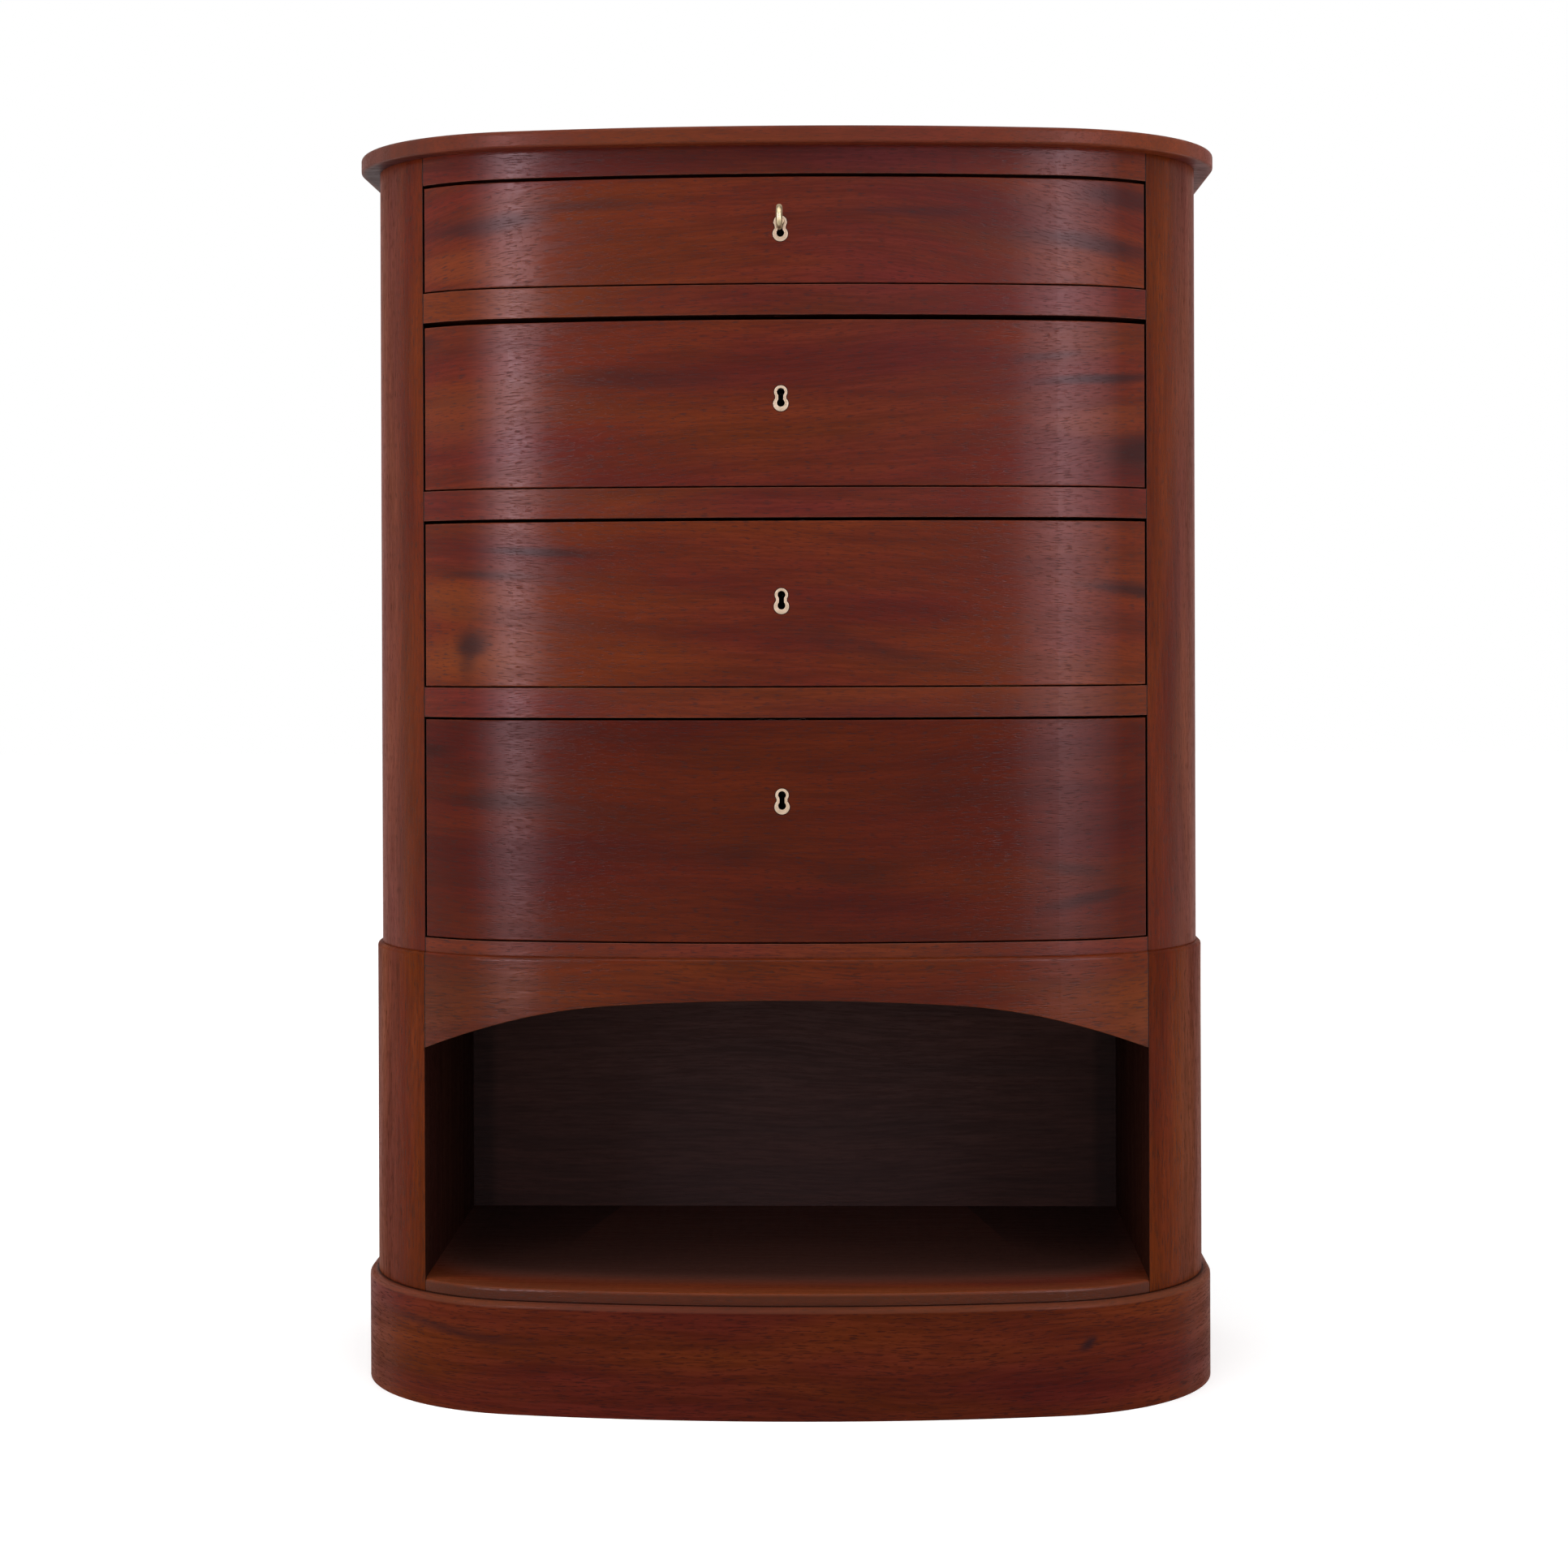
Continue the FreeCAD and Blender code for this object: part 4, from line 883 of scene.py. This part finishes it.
finish(
    plain_wood(
        "stained_back", "width_upright", (0.9, 0.0, 7.7), STAIN_DARK, STAIN_LIGHT, roughness=0.55,
        back_board=True,
    ),
    "upper_back", "lower_back", "plinth_back",
)
finish(
    plain_wood("pale_lining", "round", (2.2, 0.0, 8.1), OAK_DARK, OAK_LIGHT, roughness=0.55),
    *[f"drawer_{n}_{hand}_side" for n in DRAWERS for hand in ("left", "right")],
    *[f"drawer_{n}_back" for n in DRAWERS],
)
finish(
    plain_wood("bottom_panel", "width_level", (5.5, 0.0, 0.6), BIRCH_DARK, BIRCH_LIGHT, roughness=0.5),
    *[f"drawer_{n}_bottom" for n in DRAWERS],
)
finish(
    plain_wood("runner_pine", "width_level", (7.9, 0.0, 6.3), PINE_DARK, PINE_LIGHT, roughness=0.6),
    "left_runners", "right_runners", "drawer_guides", "top_kickers", "drawer_stops",
)

# %% [markdown]
# ## Brass and steel
# The keyhole plates and the key are brass that is handled often: bright where fingers rub it, browner in
# the hollows. The locks are steel that has dulled, and is black with painted shade where it lies behind a
# keyhole, and so is the key inside its keyhole. Both get fine scratches in their gloss.

# %% The metal recipe
# Black for the painted shade behind and inside the keyholes.
PAINTED_SHADE_BLACK = (0.003, 0.0025, 0.002, 1.0)
TARNISH_WAVES = (160.0, 160.0, 160.0)
TARNISH_PART = (0.35, 0.75)
SCRATCH_WAVES = (900.0, 900.0, 3500.0)
SCRATCH_PART = (0.3, 0.7)
SMOOTHER, ROUGHER = -0.08, 0.10
SCRATCH_DEPTH = 0.00002
METAL_EDGE_RADIUS = 0.0006
KEYHOLE_MOUTH = (front_y + 0.0005, front_y + 0.0015)


def metal(name, bright, tarnish, roughness, share, painted_shade=None):
    """A rubbed metal: tarnish in clouds, bright edges, fine scratches, and black painted shade in or
    behind a keyhole.
    """
    made, bench, place = new_material(name)
    clouds = bench.ramp(bench.noise(place, TARNISH_WAVES, 4.0, 0.6), *TARNISH_PART)
    scratch = bench.noise(place, SCRATCH_WAVES, 2.0)
    rubbed = bench.group(edge, Place=place, Radius=METAL_EDGE_RADIUS)
    dulled = bench.math("MULTIPLY", clouds, bench.between(rubbed["Mask"], share, 0.0))
    colour = bench.mix(dulled, bright, tarnish)
    # Painted shade: the faces that look to the front, behind the keyhole, are black.
    if painted_shade == "in front":
        colour = bench.mix(facing_front(bench, "Normal"), colour, PAINTED_SHADE_BLACK)
    # Painted shade: the part inside the keyhole is black.
    if painted_shade == "in keyhole":
        inside = bench.ramp(bench.split(place)[1], *KEYHOLE_MOUTH)
        colour = bench.mix(inside, colour, PAINTED_SHADE_BLACK)
    gloss = bench.ramp(scratch, *SCRATCH_PART, roughness + SMOOTHER, roughness + ROUGHER)
    finish_shader(bench, colour, gloss, scratch, rubbed["Normal"], SCRATCH_DEPTH, Metallic=1.0)
    return made


# %% Finish the metal pieces
PLATE_BRIGHT = (0.40, 0.31, 0.22, 1.0)
PLATE_TARNISH = (0.20, 0.14, 0.075, 1.0)
KEY_BRIGHT = (0.42, 0.34, 0.21, 1.0)
KEY_TARNISH = (0.13, 0.10, 0.055, 1.0)
STEEL_BRIGHT = (0.40, 0.39, 0.37, 1.0)
STEEL_TARNISH = (0.14, 0.12, 0.10, 1.0)

finish(
    metal("brass_plate", PLATE_BRIGHT, PLATE_TARNISH, roughness=0.34, share=0.55),
    *[f"drawer_{n}_escutcheon" for n in DRAWERS],
)
finish(
    metal("brass_key", KEY_BRIGHT, KEY_TARNISH, roughness=0.30, share=0.85, painted_shade="in keyhole"),
    "key",
)
finish(
    metal("lock_steel", STEEL_BRIGHT, STEEL_TARNISH, roughness=0.42, share=0.8, painted_shade="in front"),
    *[f"drawer_{n}_{piece}" for n in DRAWERS for piece in ("lock", "bolt")],
)

# %% [markdown]
# ## Slotted screws
# Four steel screws hold each lock's plate to the drawer front and two more its cap, and three hold each
# bottom panel up to the drawer's back. A screw is turned from wire: a round head is struck, then slotted.
# Here a disc is drawn up in rings into a dome, and a thin blade cuts the slot.

# %% Model one slotted screw
HEAD_SIDES = 24
DOME_RINGS = ((1.00, 0.30), (0.93, 0.58), (0.74, 0.82), (0.42, 0.97), (0.12, 1.00))
SLOT_WIDTH_SHARE = 0.26
SLOT_DEPTH_SHARE = 0.55
BLADE_LENGTH_SHARE = 3.0
SMOOTH_BELOW = math.radians(32)


def slotted_screw(name, radius, height):
    """A domed head that stands on the floor plane, with a straight slot."""
    bpy.ops.object.select_all(action="DESELECT")
    bpy.ops.mesh.primitive_circle_add(vertices=HEAD_SIDES, radius=radius, fill_type="NGON")
    head = bpy.context.object
    head.name = name
    bpy.ops.object.mode_set(mode="EDIT")
    bpy.ops.mesh.select_all(action="SELECT")
    width, level = 1.0, 0.0
    for next_width, next_level in DOME_RINGS:
        rise = (next_level - level) * height
        bpy.ops.mesh.extrude_region_move(TRANSFORM_OT_translate={"value": (0.0, 0.0, rise)})
        bpy.ops.transform.resize(value=(next_width / width, next_width / width, 1.0))
        width, level = next_width, next_level
    bpy.ops.mesh.select_mode(type="EDGE")
    bpy.ops.mesh.select_all(action="DESELECT")
    bpy.ops.mesh.select_non_manifold()
    bpy.ops.mesh.edge_face_add()
    bpy.ops.mesh.select_all(action="SELECT")
    bpy.ops.mesh.normals_make_consistent(inside=False)
    bpy.ops.object.mode_set(mode="OBJECT")
    # The blade's middle is at the top of the head, so only its lower half cuts.
    bpy.ops.mesh.primitive_cube_add(size=1.0, location=(0.0, 0.0, height))
    blade = bpy.context.object
    blade_height = 2.0 * SLOT_DEPTH_SHARE * height
    blade.scale = (SLOT_WIDTH_SHARE * radius, BLADE_LENGTH_SHARE * radius, blade_height)
    bpy.ops.object.transform_apply(location=True, rotation=True, scale=True)
    bpy.ops.object.select_all(action="DESELECT")
    bpy.context.view_layer.objects.active = head
    head.select_set(True)
    slot_cut = head.modifiers.new("slot", "BOOLEAN")
    slot_cut.operation = "DIFFERENCE"
    slot_cut.solver = "EXACT"
    slot_cut.object = blade
    bpy.ops.object.modifier_apply(modifier=slot_cut.name)
    bpy.data.objects.remove(blade)
    bpy.ops.object.shade_smooth_by_angle(angle=SMOOTH_BELOW)
    print(name, len(head.data.polygons), "faces")
    return head


lock_screw = slotted_screw("lock_screw", radius=0.0030, height=0.0011)
bottom_screw = slotted_screw("bottom_screw", radius=0.0038, height=0.0020)

# %% [markdown]
# The screws of one drawer are copied into their places, each with its slot stopped at another angle. The
# lock's screws are joined into one piece and the bottom's into another, and both slide with the drawer.

# %% Drive the screws
LOCK_CASE_HEIGHT = 0.043
SCREW_INSET = 0.0055
BOTTOM_SCREW_SHARES = (-0.8, 0.0, 0.8)
SLOT_TURN = math.radians(67)
INWARD = Vector((0.0, 1.0, 0.0))
UPWARD = Vector((0.0, 0.0, 1.0))


def driven(screw, places):
    """A copy of a screw at each place, standing along the way that is given with it."""
    copies = []
    for number, (place, way) in enumerate(places):
        copy = screw.copy()
        copy.data = screw.data.copy()
        scene.collection.objects.link(copy)
        stand = way.to_track_quat("Z", "Y").to_matrix().to_4x4()
        slot_turn = Matrix.Rotation(SLOT_TURN * number, 4, "Z")
        copy.data.transform(Matrix.Translation(place) @ stand @ slot_turn)
        copies.append(copy)
    return copies


def lock_screw_places(n):
    """Four places on the inner face of a drawer's lock, and two on its top plate."""
    low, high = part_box(f"drawer_{n}_lock")
    across = (low.x + SCREW_INSET, high.x - SCREW_INSET)
    up = (low.z + SCREW_INSET, low.z + LOCK_CASE_HEIGHT - SCREW_INSET)
    places = [(Vector((x, high.y, z)), INWARD) for x in across for z in up]
    return places + [(Vector((x, (low.y + high.y) / 2, high.z)), UPWARD) for x in across]


def bottom_screw_places(n):
    """Three places under a drawer's bottom, below the middle of its back."""
    low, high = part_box(f"drawer_{n}_back")
    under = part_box(f"drawer_{n}_bottom")[0].z
    middle_y = (low.y + high.y) / 2
    return [(Vector((share * high.x, middle_y, under)), -UPWARD) for share in BOTTOM_SCREW_SHARES]


steel = nodes["drawer_1_lock"].data.materials[0]
for n in DRAWERS:
    rows = (("lock", lock_screw, lock_screw_places(n)), ("bottom", bottom_screw, bottom_screw_places(n)))
    for name, screw, places in rows:
        copies = driven(screw, places)
        bpy.ops.object.select_all(action="DESELECT")
        for copy in copies:
            copy.select_set(True)
        bpy.context.view_layer.objects.active = copies[0]
        bpy.ops.object.join()
        piece = bpy.context.object
        piece.name = f"drawer_{n}_{name}_screws"
        piece.data.materials.clear()
        piece.data.materials.append(steel)
        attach(piece, f"drawer_{n}")
        print(piece.name, len(places))
for screw in (lock_screw, bottom_screw):
    bpy.data.objects.remove(screw)
